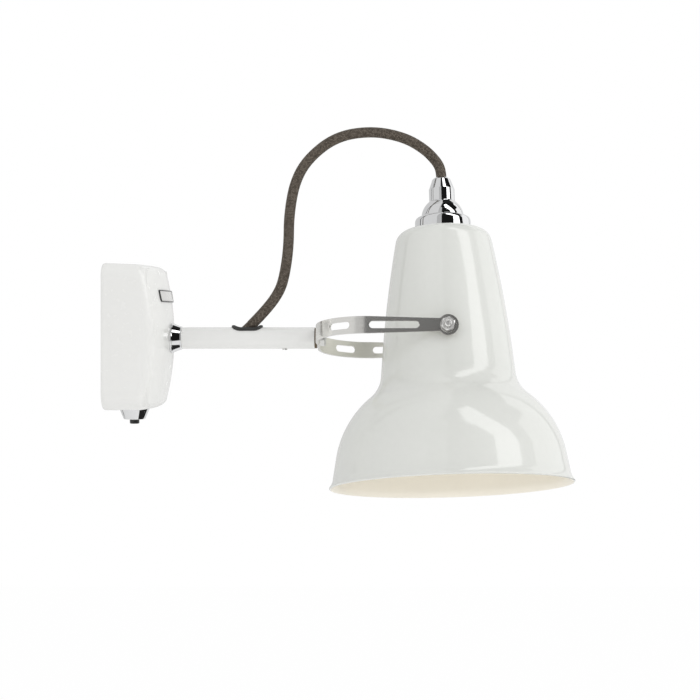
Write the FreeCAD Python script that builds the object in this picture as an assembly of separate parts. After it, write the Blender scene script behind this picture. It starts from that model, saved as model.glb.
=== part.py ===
"""Articulating wall lamp: a square wall box, a round arm, a slotted fork and a bell shade.

Millimetres. The origin is on the wall behind the arm's axis, +X runs out along the arm and +Z is up.
The fork and the shade are drawn about their own axes and then set to the pose that they are shown in.
"""

import FreeCAD, Part
import os
from math import cos, pi, radians, sin, sqrt, tan

V = FreeCAD.Vector
X, Y, Z = V(1, 0, 0), V(0, 1, 0), V(0, 0, 1)

# --- clearances -------------------------------------------------------------------------------
SLIP = 0.05          # radial clearance of a pin, thread or flex in its hole
SWIVEL = 0.1         # radial clearance of a bolt that something turns on
SEAT = 0.3           # gap round a plate that drops into the wall box
BEND_SHARE = 0.45    # of the shorter of two runs, taken up by the bend between them

# --- wall box ---------------------------------------------------------------------------------
BOX_SIDE = 84.0      # height and width
BOX_RISE = 1.2       # the box's middle stands this much above the arm's axis
BOX_DEPTH = 34.3     # wall to the crown of the front
BOX_WALL = 2.0
BOX_CORNER = 8.5     # the four long edges
BOX_FRONT_EDGE = 6.0
CROWN_RADIUS = 160.0
BOSS_RADIUS = 11.0   # flat seats inside and outside the front for the arm's fixing
BOSS_DEPTH = 3.2     # from the outer seat to the inner one
SET_SCREW_RADIUS = 1.5
SET_SCREW_LENGTH = 6.5
SET_SCREW_X = 6.0
SET_SCREW_SPREAD = 24.0

# --- bracket on the wall ----------------------------------------------------------------------
BRACKET_THICK = 1.5
TAB_LENGTH = 10.5
TAB_WIDTH = 12.0
WALL_HOLE_RADIUS = 2.5
WALL_HOLE_SPREAD = 27.0
CABLE_HOLE_RADIUS = 9.0

# --- terminal block ---------------------------------------------------------------------------
BLOCK_WIDTH, BLOCK_HEIGHT, BLOCK_DEPTH = 20.0, 15.0, 12.5
BLOCK_BOTTOM, BLOCK_ROUND = 16.5, 1.0
POLE_SPREAD = 5.0
SLEEVE_RADIUS, SLEEVE_BORE = 2.5, 1.5
CLAMP_SCREW_RADIUS, CLAMP_SCREW_SUNK, CLAMP_SLOT = 1.4, 1.0, 0.6
FIXING_RADIUS, FIXING_HEAD_RADIUS, FIXING_HEAD = 1.5, 2.6, 1.6

# --- switch -----------------------------------------------------------------------------------
SWITCH_X = 12.4
SWITCH_RADIUS, SWITCH_HEIGHT = 7.5, 20.0
BUSH_RADIUS = 5.0
BEZEL_BIG, BEZEL_SMALL, BEZEL_LENGTH = 8.85, 6.3, 7.0
BEZEL_LIP, BEZEL_RIM = 1.0, 0.6
BUTTON_RADIUS, BUTTON_OUT, BUTTON_TRAVEL = 2.8, 2.7, 2.0
BUTTON_FLANGE_RADIUS, BUTTON_FLANGE = 4.0, 1.5
BUTTON_SEAT, BUTTON_ROUND = 0.7, 0.7    # the flange rests this far above the box's inside
TAG_WIDTH, TAG_THICK, TAG_HEIGHT = 2.8, 0.8, 4.0
TAG_SPREAD = 3.0

# --- arm --------------------------------------------------------------------------------------
ARM_RADIUS, ARM_WALL = 6.35, 1.2
ARM_END = 118.7
COLLAR_BIG, COLLAR_LENGTH = 8.95, 6.5
COLLAR_RIM = 0.8
STUD_IN_ARM = 12.0
STUD_IN_BOX = 7.0
STUD_BORE = 3.6
ARM_NUT_FLATS, ARM_NUT = 14.0, 3.0
ARM_WASHER_RADIUS, ARM_WASHER = 8.0, 1.0
PLUG_LENGTH, PLUG_CHAMFER = 22.0, 0.8
PLUG_SCREW_BACK, PLUG_SCREW_RADIUS, PLUG_SCREW_LENGTH = 17.7, 1.5, 5.0    # back from the arm's end
PLUG_SCREW_HEAD, PLUG_SCREW_SLOT = 0.6, 0.5

# --- grommet and flex -------------------------------------------------------------------------
GROMMET_X = 78.9
GROMMET_LENGTH, GROMMET_WIDTH, GROMMET_RIM = 18.4, 10.6, 1.3
SLOT_LENGTH, SLOT_WIDTH = 15.6, 8.2
GROMMET_LIP, LIP_LENGTH, LIP_WIDTH = 0.7, 16.8, 8.8
FLEX_RADIUS = 3.0
CORE_RADIUS = 1.1

# --- fork -------------------------------------------------------------------------------------
REACH = 196.6        # wall to the shade's pivot
TWIST = -11.1        # how far the fork is turned about the arm, degrees
WASHER_RADIUS, WASHER_THICK = 6.1, 1.2
FORK_INSIDE = 40.6   # half the gap between the ears
FORK_THICK = 1.5
FORK_HEIGHT, FORK_EAR_NECK = 8.3, 6.8
FORK_BEND = 22.0
EAR_RADIUS = 5.8
SLOT_HALF = 2.1      # half height of the slots
SHORT_SLOT = (68.4, 55.9)      # both ends, back from the shade's pivot
LONG_SLOT = (44.8, 16.5)
FORK_BOLT_RADIUS, FORK_BOLT_LENGTH = 2.5, 14.0
FORK_BOLT_HEAD_RADIUS, FORK_BOLT_HEAD, FORK_BOLT_ROUND = 4.75, 2.7, 1.2
FORK_BOLT_KEY, FORK_BOLT_SPARE = 3.0, 1.0    # socket across flats; thread left free behind the bolt
SPRING_WASHER_RADIUS, SPRING_WASHER = 4.6, 1.2

# --- pivots of the shade ----------------------------------------------------------------------
PIVOT_RADIUS = 2.0
PIVOT_WASHER_RADIUS, PIVOT_WASHER = 4.5, 0.8
PIVOT_NUT_FLATS, PIVOT_NUT, NUT_BEVEL = 7.0, 3.2, 0.4
PIVOT_OUT = 6.2      # bolt end beyond the ear
PIVOT_HEAD_RADIUS, PIVOT_HEAD, PIVOT_HEAD_ROUND = 3.8, 2.4, 1.0
PIVOT_CHAMFER = 0.4
SADDLE_RADIUS = 4.8
SADDLE_INSIDE = 33.2

# --- shade, as (radius, height above the pivot) along its outside ----------------------------
TILT = -1.8          # how far the shade leans in the fork, degrees
SHADE_WALL = 1.3
SHADE_TOP = 64.5
SHADE_CROWN_RADIUS = 20.8     # flat round the fittings
SHADE_SHOULDER_RADIUS = 8.0
SHADE_SLOPE = 10.8            # of the side under the shoulder, degrees off the axis
SHADE_WAIST_TOP = (39.5, -22.0)
SHADE_WAIST_FOOT = (46.5, -35.2)
SHADE_BELL_FOOT = (66.2, -68.5)
SHADE_SKIRT_FOOT = -81.0
SHADE_LIP = (71.6, -85.1)

# --- chrome fittings on the shade, heights above the shade's top ----------------------------
NIPPLE_RADIUS, NIPPLE_BORE = 5.0, 3.6
COLLAR_RADIUS, COLLAR_HEIGHT, COLLAR_ROUND, COLLAR_WALL = 16.7, 8.4, 3.0, 1.5
DOME_RADIUS, DOME_HEIGHT, DOME_SPIGOT = 12.9, 9.4, 2.0
DOME_TOP_RADIUS = 7.9
DOME_MIDDLE, DOME_INNER_MIDDLE = (10.6, 5.8), (7.9, 3.9)    # on its outside and inside, above the ring
GRIP_RADIUS, GRIP_STRAIGHT = 7.7, 8.0
GRIP_TAPER, GRIP_TAPER_RADIUS = 6.2, 5.4
GRIP_EDGE, GRIP_BEVEL = 0.9, 0.4
GRIP_THREAD = 6.0

# --- lampholder and bulb, heights below the shade's top --------------------------------------
HOLDER_RADIUS, HOLDER_LENGTH = 13.5, 42.0
HOLDER_ROOF, HOLDER_ROUND = 13.0, 2.0
NIPPLE_IN_HOLDER = 9.0
HOLDER_MOUTH_RADIUS, HOLDER_MOUTH = 10.5, 8.0
SLEEVE_WALL = 0.6
CONTACT_RADIUS, CONTACT_THICK = 4.0, 0.6
CAP_RADIUS, CAP_LENGTH = 6.95, 19.0
CAP_TIP_RADIUS, CAP_TIP = 2.4, 2.4
CAP_SHOULDER_RADIUS, CAP_SHOULDER = 3.9, 2.0
BULB_RADIUS, BULB_LENGTH = 22.5, 75.0
BULB_NECK_RADIUS = 8.2
BULB_NECK_PLACE = 0.385       # of the way from the cap to the round part
BULB_NECK_ANGLE = 50.0        # where the neck runs into the round part, degrees above its middle

# --- places worked out from the sizes --------------------------------------------------------
BOX_FLOOR = BOX_RISE - BOX_SIDE / 2
BOX_INNER_FLOOR = BOX_FLOOR + BOX_WALL
BOX_INNER_ROOF = BOX_RISE + BOX_SIDE / 2 - BOX_WALL
FRONT_SEAT = BOX_DEPTH - (CROWN_RADIUS - sqrt(CROWN_RADIUS**2 - COLLAR_BIG**2))
INNER_SEAT = FRONT_SEAT - BOSS_DEPTH
ARM_START = FRONT_SEAT + COLLAR_LENGTH
ARM_BORE = ARM_RADIUS - ARM_WALL
STUD_RADIUS = ARM_BORE - SLIP
PLUG_SCREW_X = ARM_END - PLUG_SCREW_BACK
FORK_FACE = ARM_END + WASHER_THICK
EAR_OUTSIDE = FORK_INSIDE + FORK_THICK
COLLAR_TOP = SHADE_TOP + COLLAR_HEIGHT
GRIP_BOTTOM = COLLAR_TOP + DOME_HEIGHT
GRIP_TOP = GRIP_BOTTOM + GRIP_STRAIGHT + GRIP_TAPER + GRIP_EDGE
HOLDER_TOP = SHADE_TOP - SHADE_WALL
HOLDER_FLOOR = HOLDER_TOP - HOLDER_LENGTH
SOCKET_ROOF = HOLDER_TOP - HOLDER_ROOF
SLEEVE_OUTER = CAP_RADIUS + SLIP + SLEEVE_WALL
NIPPLE_FOOT = HOLDER_TOP - NIPPLE_IN_HOLDER
CONTACT_FACE = SOCKET_ROOF - CONTACT_THICK

# --- route of the flex, from inside the arm to the grip on the shade -------------------------
FLEX_INSIDE = [(24.0, 0.0, 0.0), (52.0, 0.0, 0.0), (67.8, 0.0, -1.9), (74.9, 0.0, 1.3), (81.2, 0.0, 7.6)]
FLEX_LOWER = [
    (81.2, 0.0, 7.6), (89.6, 0.0, 16.0), (98.0, 1.0, 27.5), (101.0, 2.0, 38.5), (102.0, 2.75, 46.5),
]
FLEX_UPPER = [
    (102.0, 2.75, 46.5), (103.0, 3.5, 54.5), (103.0, 6.0, 73.5), (106.5, 9.0, 94.0), (115.0, 11.5, 108.0),
    (131.0, 14.5, 120.5), (152.0, 17.0, 124.0), (171.0, 19.0, 120.5), (183.2, 20.0, 113.6), (190.2, 20.4, 106.6),
]
FLEX_EXIT = 5.6      # straight end of the flex above the grip

# --- single cores inside the wall box --------------------------------------------------------
LIVE_CORE = [(24.0, -1.4, 0.0), (18.0, -1.4, 0.0), (12.4, -3.0, -6.0), (12.4, -3.0, -14.8)]
NEUTRAL_CORE = [
    (24.0, 1.4, 0.0), (17.0, 1.4, 0.0), (9.8, 3.9, 4.5), (7.75, 5.0, 10.0), (7.75, 5.0, 16.5),
]
SWITCH_LEAD = [
    (12.4, 3.0, -14.8), (12.4, 3.0, -9.0), (8.5, 1.2, -2.0), (7.75, -3.2, 5.0), (7.75, -5.0, 10.5),
    (7.75, -5.0, 16.5),
]


# --- helpers ---------------------------------------------------------------------------------
def save(name, shape):
    """Write one piece, or one set of like pieces, as its own file."""
    if not shape.isValid():
        print("not valid:", name)
    shape.exportStep(f"parts/{name}.step")
    print(f"{name}: {len(shape.Solids)} solids, {shape.Volume:.0f} mm3")


def rod(radius, start, length, direction=X):
    return Part.makeCylinder(radius, length, V(*start), direction)


def pipe(radius, bore, start, length, direction=X):
    """A cylinder with a bore that runs past both of its ends."""
    return rod(radius, start, length, direction).cut(rod(bore, start, length, direction))


def block(low, high):
    return Part.makeBox(*(V(*high) - V(*low)), V(*low))


def edges_along_x(shape):
    return [e for e in shape.Edges if abs(e.tangentAt(e.FirstParameter).x) > 0.9]


def hexagon(flats, start, length, direction=X):
    """A hexagonal prism, by its size across flats."""
    radius = flats / sqrt(3)
    corners = [V(radius * cos(k * pi / 3), radius * sin(k * pi / 3), 0) for k in range(7)]
    prism = Part.Face(Part.makePolygon(corners)).extrude(Z * length)
    prism.Placement = FreeCAD.Placement(V(*start), FreeCAD.Rotation(Z, direction))
    return prism


def arc(start, middle, end):
    return Part.Arc(V(*start), V(*middle), V(*end)).toShape()


def line(start, end):
    return Part.LineSegment(V(*start), V(*end)).toShape()


def turned(edges):
    """Revolve a closed outline in the XZ plane about Z."""
    return Part.Face(Part.Wire(edges)).revolve(V(), Z, 360)


def turned_points(points):
    """Revolve a closed outline of (radius, height) points about Z."""
    corners = [V(r, 0, h) for r, h in points + points[:1]]
    return turned([Part.LineSegment(a, b).toShape() for a, b in zip(corners, corners[1:])])


def oval(length, width, height, centre_x):
    """An upright prism with round ends, standing on the arm's axis."""
    straight = (length - width) / 2
    left, right, half = centre_x - straight, centre_x + straight, width / 2
    outline = Part.Wire([
        line((left, half, 0), (right, half, 0)),
        arc((right, half, 0), (right + half, 0, 0), (right, -half, 0)),
        line((right, -half, 0), (left, -half, 0)),
        arc((left, -half, 0), (left - half, 0, 0), (left, half, 0)),
    ])
    return Part.Face(outline).extrude(Z * height)


def flex_path(points):
    """Straight runs joined by tangent arcs, each as large as its two runs allow."""
    points = [V(*p) for p in points]
    edges, radii, here = [], [], points[0]
    for before, corner, after in zip(points, points[1:], points[2:]):
        back, ahead = (before - corner), (after - corner)
        reach = BEND_SHARE * min(back.Length, ahead.Length)
        back.normalize(), ahead.normalize()
        turn = pi - back.getAngle(ahead)
        radius = reach / tan(turn / 2)
        inward = (back + ahead).normalize()
        middle = corner + inward * (sqrt(radius**2 + reach**2) - radius)
        start, end = corner + back * reach, corner + ahead * reach
        edges += [Part.LineSegment(here, start).toShape(), Part.Arc(start, middle, end).toShape()]
        radii.append(radius)
        here = end
    edges.append(Part.LineSegment(here, points[-1]).toShape())
    return Part.Wire(edges), radii


def swept(path, points, radius):
    start = V(*points[0])
    section = Part.Wire(Part.makeCircle(radius, start, V(*points[1]) - start))
    return path.makePipeShell([section], True, False)


def flex(name, points, radius):
    """A round flex along its route, with its bends and volume printed."""
    path, radii = flex_path(points)
    solid = swept(path, points, radius)
    ideal = pi * radius**2 * path.Length
    print(f"{name}: bends", [round(r, 1) for r in radii], f"length {path.Length:.1f}",
          f"volume over section x length {solid.Volume / ideal:.4f}")
    return solid


def in_fork(shape):
    """Turn a shape that is drawn upright about the arm's axis into the fork's pose."""
    shape.rotate(V(), X, TWIST)
    return shape


def in_shade(shape):
    """Set a shape that is drawn about the shade's pivot and axis into the shade's pose."""
    shape.rotate(V(), Y, TILT)
    shape.translate(X * REACH)
    return in_fork(shape)


def both_sides(shape):
    """The shape and its mirror image across the plane through both axes."""
    return Part.makeCompound([shape, shape.mirror(V(), Y)])


# --- wall box --------------------------------------------------------------------------------
def box_form(inset, back):
    """The box's outside, or with an inset its inside: rounded edges and a crowned front."""
    half, corner = BOX_SIDE / 2 - inset, BOX_CORNER - inset
    form = block((back, -half, BOX_RISE - half), (BOX_DEPTH + BOX_WALL, half, BOX_RISE + half))
    form = form.makeFillet(corner, edges_along_x(form))
    middle = V(BOX_DEPTH - CROWN_RADIUS, 0, BOX_RISE)
    crown = Part.makeSphere(CROWN_RADIUS - inset, middle)
    crown.rotate(middle, Z, 180)
    form = form.common(crown)
    front_edges = [e for e in form.Edges if e.BoundBox.XMin > back + BOX_WALL]
    return form.makeFillet(BOX_FRONT_EDGE - inset, front_edges)


def base_housing():
    shell = box_form(0, 0).cut(box_form(BOX_WALL, -BOX_WALL))
    shell = shell.fuse(rod(BOSS_RADIUS, (INNER_SEAT, 0, 0), BOSS_DEPTH).common(box_form(0, 0)))
    shell = shell.cut(rod(COLLAR_BIG + SLIP, (FRONT_SEAT, 0, 0), BOSS_DEPTH))
    shell = shell.cut(rod(STUD_RADIUS + SLIP, (0, 0, 0), BOX_DEPTH))
    shell = shell.cut(rod(BUSH_RADIUS + SLIP, (SWITCH_X, 0, BOX_FLOOR), BOX_WALL, Z))
    for side in (-1, 1):
        start = (SET_SCREW_X, side * SET_SCREW_SPREAD, BOX_FLOOR)
        shell = shell.cut(rod(SET_SCREW_RADIUS + SLIP, start, BOX_WALL, Z))
    return shell.removeSplitter()


def set_screw():
    """A screw without a head, flush with the box's floor, with a hexagon socket."""
    start = (SET_SCREW_X, SET_SCREW_SPREAD, BOX_FLOOR)
    screw = rod(SET_SCREW_RADIUS, start, SET_SCREW_LENGTH, Z)
    return screw.cut(hexagon(SET_SCREW_RADIUS, start, SET_SCREW_LENGTH / 3, Z))


def wall_bracket():
    """A plate with holes for two wall screws and the supply cable, and three bent tabs."""
    half = BOX_SIDE / 2 - BOX_WALL - SEAT
    plate = block((0, -half, BOX_RISE - half), (BRACKET_THICK, half, BOX_RISE + half))
    plate = plate.makeFillet(BOX_CORNER - BOX_WALL, edges_along_x(plate))
    tabs = [(-SET_SCREW_SPREAD, BOX_INNER_FLOOR), (SET_SCREW_SPREAD, BOX_INNER_FLOOR),
            (0, BOX_INNER_ROOF - BRACKET_THICK)]
    for middle, low in tabs:
        tab = block((0, middle - TAB_WIDTH / 2, low), (TAB_LENGTH, middle + TAB_WIDTH / 2, low + BRACKET_THICK))
        plate = plate.fuse(tab)
    for side in (-1, 1):
        plate = plate.cut(rod(WALL_HOLE_RADIUS, (0, side * WALL_HOLE_SPREAD, 0), BRACKET_THICK))
        start = (SET_SCREW_X, side * SET_SCREW_SPREAD, BOX_INNER_FLOOR)
        plate = plate.cut(rod(SET_SCREW_RADIUS + SLIP, start, BRACKET_THICK, Z))
    plate = plate.cut(rod(CABLE_HOLE_RADIUS, (0, 0, 0), BRACKET_THICK))
    middle = BLOCK_BOTTOM + BLOCK_HEIGHT / 2
    plate = plate.cut(rod(FIXING_RADIUS + SLIP, (0, 0, middle), BRACKET_THICK))
    return plate.removeSplitter()


def terminal_block():
    """Body, brass sleeves, clamp screws and fixing screw of the two-pole terminal."""
    top, front = BLOCK_BOTTOM + BLOCK_HEIGHT, BRACKET_THICK + BLOCK_DEPTH
    middle, depth = BLOCK_BOTTOM + BLOCK_HEIGHT / 2, BRACKET_THICK + BLOCK_DEPTH / 2
    body = block((BRACKET_THICK, -BLOCK_WIDTH / 2, BLOCK_BOTTOM), (front, BLOCK_WIDTH / 2, top))
    body = body.makeFillet(BLOCK_ROUND, [e for e in body.Edges if e.BoundBox.XMin > depth])
    sleeves, screws = [], []
    for side in (-1, 1):
        start = (depth, side * POLE_SPREAD, BLOCK_BOTTOM)
        body = body.cut(rod(SLEEVE_RADIUS, start, BLOCK_HEIGHT, Z))
        sleeves.append(pipe(SLEEVE_RADIUS, SLEEVE_BORE, start, BLOCK_HEIGHT, Z))
        for height in (BLOCK_BOTTOM + BLOCK_HEIGHT / 4, top - BLOCK_HEIGHT / 4):
            crest = (depth + SLEEVE_RADIUS, side * POLE_SPREAD, height)
            body = body.cut(rod(CLAMP_SCREW_RADIUS + SLIP, (depth, *crest[1:]), BLOCK_DEPTH))
            outer = front - CLAMP_SCREW_SUNK
            screw = rod(CLAMP_SCREW_RADIUS, crest, outer - crest[0])
            slot = block((outer - CLAMP_SLOT, side * POLE_SPREAD - CLAMP_SCREW_RADIUS, height - CLAMP_SLOT / 2),
                         (outer, side * POLE_SPREAD + CLAMP_SCREW_RADIUS, height + CLAMP_SLOT / 2))
            screws.append(screw.cut(slot))
    body = body.cut(rod(FIXING_RADIUS + SLIP, (BRACKET_THICK, 0, middle), BLOCK_DEPTH))
    fixing = rod(FIXING_RADIUS, (0, 0, middle), front).fuse(
        rod(FIXING_HEAD_RADIUS, (front, 0, middle), FIXING_HEAD))
    return body, Part.makeCompound(sleeves), Part.makeCompound(screws), fixing.removeSplitter()


# --- switch ----------------------------------------------------------------------------------
def switch_pieces():
    """Body with its threaded bush, chrome bezel, and the button that slides in the bush."""
    tip = BOX_FLOOR - BEZEL_LENGTH
    bush_end = tip + BEZEL_LIP
    seat = BOX_INNER_FLOOR + BUTTON_SEAT
    body = rod(SWITCH_RADIUS, (SWITCH_X, 0, BOX_INNER_FLOOR), SWITCH_HEIGHT, Z)
    body = body.fuse(rod(BUSH_RADIUS, (SWITCH_X, 0, bush_end), BOX_INNER_FLOOR - bush_end, Z))
    body = body.cut(rod(BUTTON_RADIUS + SWIVEL, (SWITCH_X, 0, bush_end), seat - bush_end, Z))
    room = BUTTON_FLANGE + BUTTON_TRAVEL + SEAT
    body = body.cut(rod(BUTTON_FLANGE_RADIUS + SWIVEL, (SWITCH_X, 0, seat), room, Z))
    top = BOX_INNER_FLOOR + SWITCH_HEIGHT
    for side in (-1, 1):
        middle = side * TAG_SPREAD
        tag = block((SWITCH_X - TAG_THICK / 2, middle - TAG_WIDTH / 2, top),
                    (SWITCH_X + TAG_THICK / 2, middle + TAG_WIDTH / 2, top + TAG_HEIGHT))
        body = body.fuse(tag)
    bezel = turned_points([
        (BUSH_RADIUS + SLIP, 0), (BEZEL_BIG, 0), (BEZEL_BIG, -BEZEL_RIM), (BEZEL_SMALL, -BEZEL_LENGTH),
        (BUTTON_RADIUS + SEAT, -BEZEL_LENGTH), (BUTTON_RADIUS + SEAT, BEZEL_LIP - BEZEL_LENGTH),
        (BUSH_RADIUS + SLIP, BEZEL_LIP - BEZEL_LENGTH),
    ])
    bezel.translate(V(SWITCH_X, 0, BOX_FLOOR))
    button = rod(BUTTON_RADIUS, (SWITCH_X, 0, tip - BUTTON_OUT), seat - tip + BUTTON_OUT, Z)
    button = button.makeFillet(BUTTON_ROUND, [e for e in button.Edges if e.BoundBox.ZMax < tip])
    button = button.fuse(rod(BUTTON_FLANGE_RADIUS, (SWITCH_X, 0, seat), BUTTON_FLANGE, Z))
    return body.removeSplitter(), bezel, button.removeSplitter()


# --- arm -------------------------------------------------------------------------------------
def arm_collar():
    """The chrome cone between the box and the arm."""
    cone = turned_points([
        (STUD_RADIUS + SLIP, 0), (COLLAR_BIG, 0), (COLLAR_BIG, COLLAR_RIM), (ARM_RADIUS, COLLAR_LENGTH),
        (STUD_RADIUS + SLIP, COLLAR_LENGTH),
    ])
    cone.rotate(V(), Y, 90)
    cone.translate(X * FRONT_SEAT)
    return cone


def arm_stud():
    """The hollow stud that is fixed in the arm and passes through the collar into the box."""
    start = INNER_SEAT - STUD_IN_BOX
    return pipe(STUD_RADIUS, STUD_BORE, (start, 0, 0), ARM_START + STUD_IN_ARM - start)


def arm_washer():
    return pipe(ARM_WASHER_RADIUS, STUD_RADIUS + SLIP, (INNER_SEAT - ARM_WASHER, 0, 0), ARM_WASHER)


def arm_nut():
    start = (INNER_SEAT - ARM_WASHER - ARM_NUT, 0, 0)
    return hexagon(ARM_NUT_FLATS, start, ARM_NUT).cut(rod(STUD_RADIUS + SLIP, start, ARM_NUT))


def arm_tube():
    tube = pipe(ARM_RADIUS, ARM_BORE, (ARM_START, 0, 0), ARM_END - ARM_START)
    tube = tube.cut(oval(SLOT_LENGTH + 2 * SLIP, SLOT_WIDTH + 2 * SLIP, 2 * ARM_RADIUS, GROMMET_X))
    return tube.cut(rod(PLUG_SCREW_RADIUS + SLIP, (PLUG_SCREW_X, 0, -2 * ARM_RADIUS), 2 * ARM_RADIUS, Z))


def arm_end_plug():
    """The turned plug in the arm's end, tapped for the fork's bolt and for the screw under the arm."""
    plug = rod(ARM_BORE - SLIP, (ARM_END - PLUG_LENGTH, 0, 0), PLUG_LENGTH)
    inner_end = [e for e in plug.Edges if e.BoundBox.XMax < ARM_END - PLUG_LENGTH / 2]
    plug = plug.makeChamfer(PLUG_CHAMFER, inner_end)
    plug = plug.cut(rod(FORK_BOLT_RADIUS + SLIP, (ARM_END - FORK_BOLT_LENGTH, 0, 0), FORK_BOLT_LENGTH))
    return plug.cut(rod(PLUG_SCREW_RADIUS + SLIP, (PLUG_SCREW_X, 0, -ARM_RADIUS), PLUG_SCREW_LENGTH, Z))


def plug_screw():
    """The small screw under the arm that holds the plug; its head stands just proud of the tube."""
    low, half = -ARM_RADIUS - PLUG_SCREW_HEAD, PLUG_SCREW_SLOT / 2
    slot = block((PLUG_SCREW_X - half, -PLUG_SCREW_RADIUS, low),
                 (PLUG_SCREW_X + half, PLUG_SCREW_RADIUS, -ARM_RADIUS))
    return rod(PLUG_SCREW_RADIUS, (PLUG_SCREW_X, 0, low), PLUG_SCREW_LENGTH, Z).cut(slot)


def arm_shell(outer, inner):
    """A length of tube wall round the grommet, between two radii."""
    return pipe(outer, inner, (GROMMET_X - GROMMET_LENGTH, 0, 0), 2 * GROMMET_LENGTH)


def cord_grommet():
    """A rubber oval that lies on the arm, with a neck in the slot and a lip inside the wall."""
    rim = arm_shell(ARM_RADIUS + GROMMET_RIM, ARM_RADIUS).common(
        oval(GROMMET_LENGTH, GROMMET_WIDTH, 2 * ARM_RADIUS, GROMMET_X))
    neck = arm_shell(ARM_RADIUS + GROMMET_RIM / 2, ARM_BORE - GROMMET_LIP / 2).common(
        oval(SLOT_LENGTH, SLOT_WIDTH, 2 * ARM_RADIUS, GROMMET_X))
    lip = arm_shell(ARM_BORE, ARM_BORE - GROMMET_LIP).common(
        oval(LIP_LENGTH, LIP_WIDTH, 2 * ARM_RADIUS, GROMMET_X))
    route = FLEX_INSIDE[:-1] + [FLEX_LOWER[1]]
    hole = swept(flex_path(route)[0], route, FLEX_RADIUS + SLIP)
    return rim.fuse([neck, lip]).removeSplitter().cut(hole)


# --- fork ------------------------------------------------------------------------------------
def fork():
    """A strip bent into a U that tapers to two round ears, with two slots in each leg."""
    side = FORK_INSIDE + FORK_THICK
    bend = FORK_BEND

    def strip_outline(offset):
        """The U's outer or inner line, from one leg's end to the other's."""
        half, radius, face = side - offset, bend - offset, FORK_FACE + offset
        cut = radius * (1 - sin(pi / 4))
        return [
            line((REACH, -half, 0), (face + radius, -half, 0)),
            arc((face + radius, -half, 0), (face + cut, -half + cut, 0), (face, radius - half, 0)),
            line((face, radius - half, 0), (face, half - radius, 0)),
            arc((face, half - radius, 0), (face + cut, half - cut, 0), (face + radius, half, 0)),
            line((face + radius, half, 0), (REACH, half, 0)),
        ]

    outline = strip_outline(0) + [line((REACH, side, 0), (REACH, FORK_INSIDE, 0))]
    outline += strip_outline(FORK_THICK) + [line((REACH, -FORK_INSIDE, 0), (REACH, -side, 0))]
    strip = Part.Face(Part.Wire(Part.__sortEdges__(outline))).extrude(Z * FORK_HEIGHT)
    strip.translate(Z * -FORK_HEIGHT / 2)

    def side_view(shape_points):
        corners = [V(x, -2 * side, z) for x, z in shape_points + shape_points[:1]]
        return Part.Face(Part.makePolygon(corners)).extrude(Y * 4 * side)

    tall, neck = FORK_HEIGHT / 2, FORK_EAR_NECK / 2
    narrowing, ear = REACH - LONG_SLOT[0], REACH - EAR_RADIUS
    taper = side_view([(FORK_FACE, -tall), (narrowing, -tall), (ear, -neck), (REACH, -neck),
                       (REACH, neck), (ear, neck), (narrowing, tall), (FORK_FACE, tall)])
    strip = strip.common(taper)
    for sign in (-1, 1):
        low = FORK_INSIDE if sign > 0 else -side
        strip = strip.fuse(rod(EAR_RADIUS, (REACH, low, 0), FORK_THICK, Y))
    strip = strip.cut(rod(PIVOT_RADIUS + SWIVEL, (REACH, -2 * side, 0), 4 * side, Y))
    for far, near in (SHORT_SLOT, LONG_SLOT):
        start, end = REACH - far, REACH - near
        left, right = start + SLOT_HALF, end - SLOT_HALF
        for sign in (-1, 1):
            edge = sign * FORK_INSIDE / 4
            slot = Part.Face(Part.Wire([
                line((left, edge, SLOT_HALF), (right, edge, SLOT_HALF)),
                arc((right, edge, SLOT_HALF), (end, edge, 0), (right, edge, -SLOT_HALF)),
                line((right, edge, -SLOT_HALF), (left, edge, -SLOT_HALF)),
                arc((left, edge, -SLOT_HALF), (start, edge, 0), (left, edge, SLOT_HALF)),
            ])).extrude(Y * sign * side)
            strip = strip.cut(slot)
    return strip.cut(rod(FORK_BOLT_RADIUS + SWIVEL, (FORK_FACE, 0, 0), FORK_THICK)).removeSplitter()


def friction_washer():
    return pipe(WASHER_RADIUS, FORK_BOLT_RADIUS + SLIP, (ARM_END, 0, 0), WASHER_THICK)


def fork_spring_washer():
    start = (FORK_FACE + FORK_THICK, 0, 0)
    return pipe(SPRING_WASHER_RADIUS, FORK_BOLT_RADIUS + SLIP, start, SPRING_WASHER)


def fork_bolt():
    """The bolt that the fork turns on, screwed into the arm's plug from inside the fork."""
    seat = FORK_FACE + FORK_THICK + SPRING_WASHER
    start = ARM_END - FORK_BOLT_LENGTH + FORK_BOLT_SPARE
    head = rod(FORK_BOLT_HEAD_RADIUS, (seat, 0, 0), FORK_BOLT_HEAD)
    outer_edge = [e for e in head.Edges if e.BoundBox.XMin > seat + FORK_BOLT_HEAD / 2]
    head = head.makeFillet(FORK_BOLT_ROUND, outer_edge)
    head = head.cut(hexagon(FORK_BOLT_KEY, (seat + FORK_BOLT_HEAD / 3, 0, 0), FORK_BOLT_HEAD))
    return head.fuse(rod(FORK_BOLT_RADIUS, (start, 0, 0), seat - start)).removeSplitter()


# --- shade -----------------------------------------------------------------------------------
def tangent_arc(start, heading, end):
    """The arc that leaves start along heading and ends at end, and its heading at the end."""
    chord = end - start
    along = chord / chord.Length
    side = heading - along * heading.dot(along)
    bulge = chord.Length / 2 * tan(heading.getAngle(along) / 2)
    middle = (start + end) / 2 + side.normalize() * bulge
    return Part.Arc(start, middle, end).toShape(), along * (2 * heading.dot(along)) - heading


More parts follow.
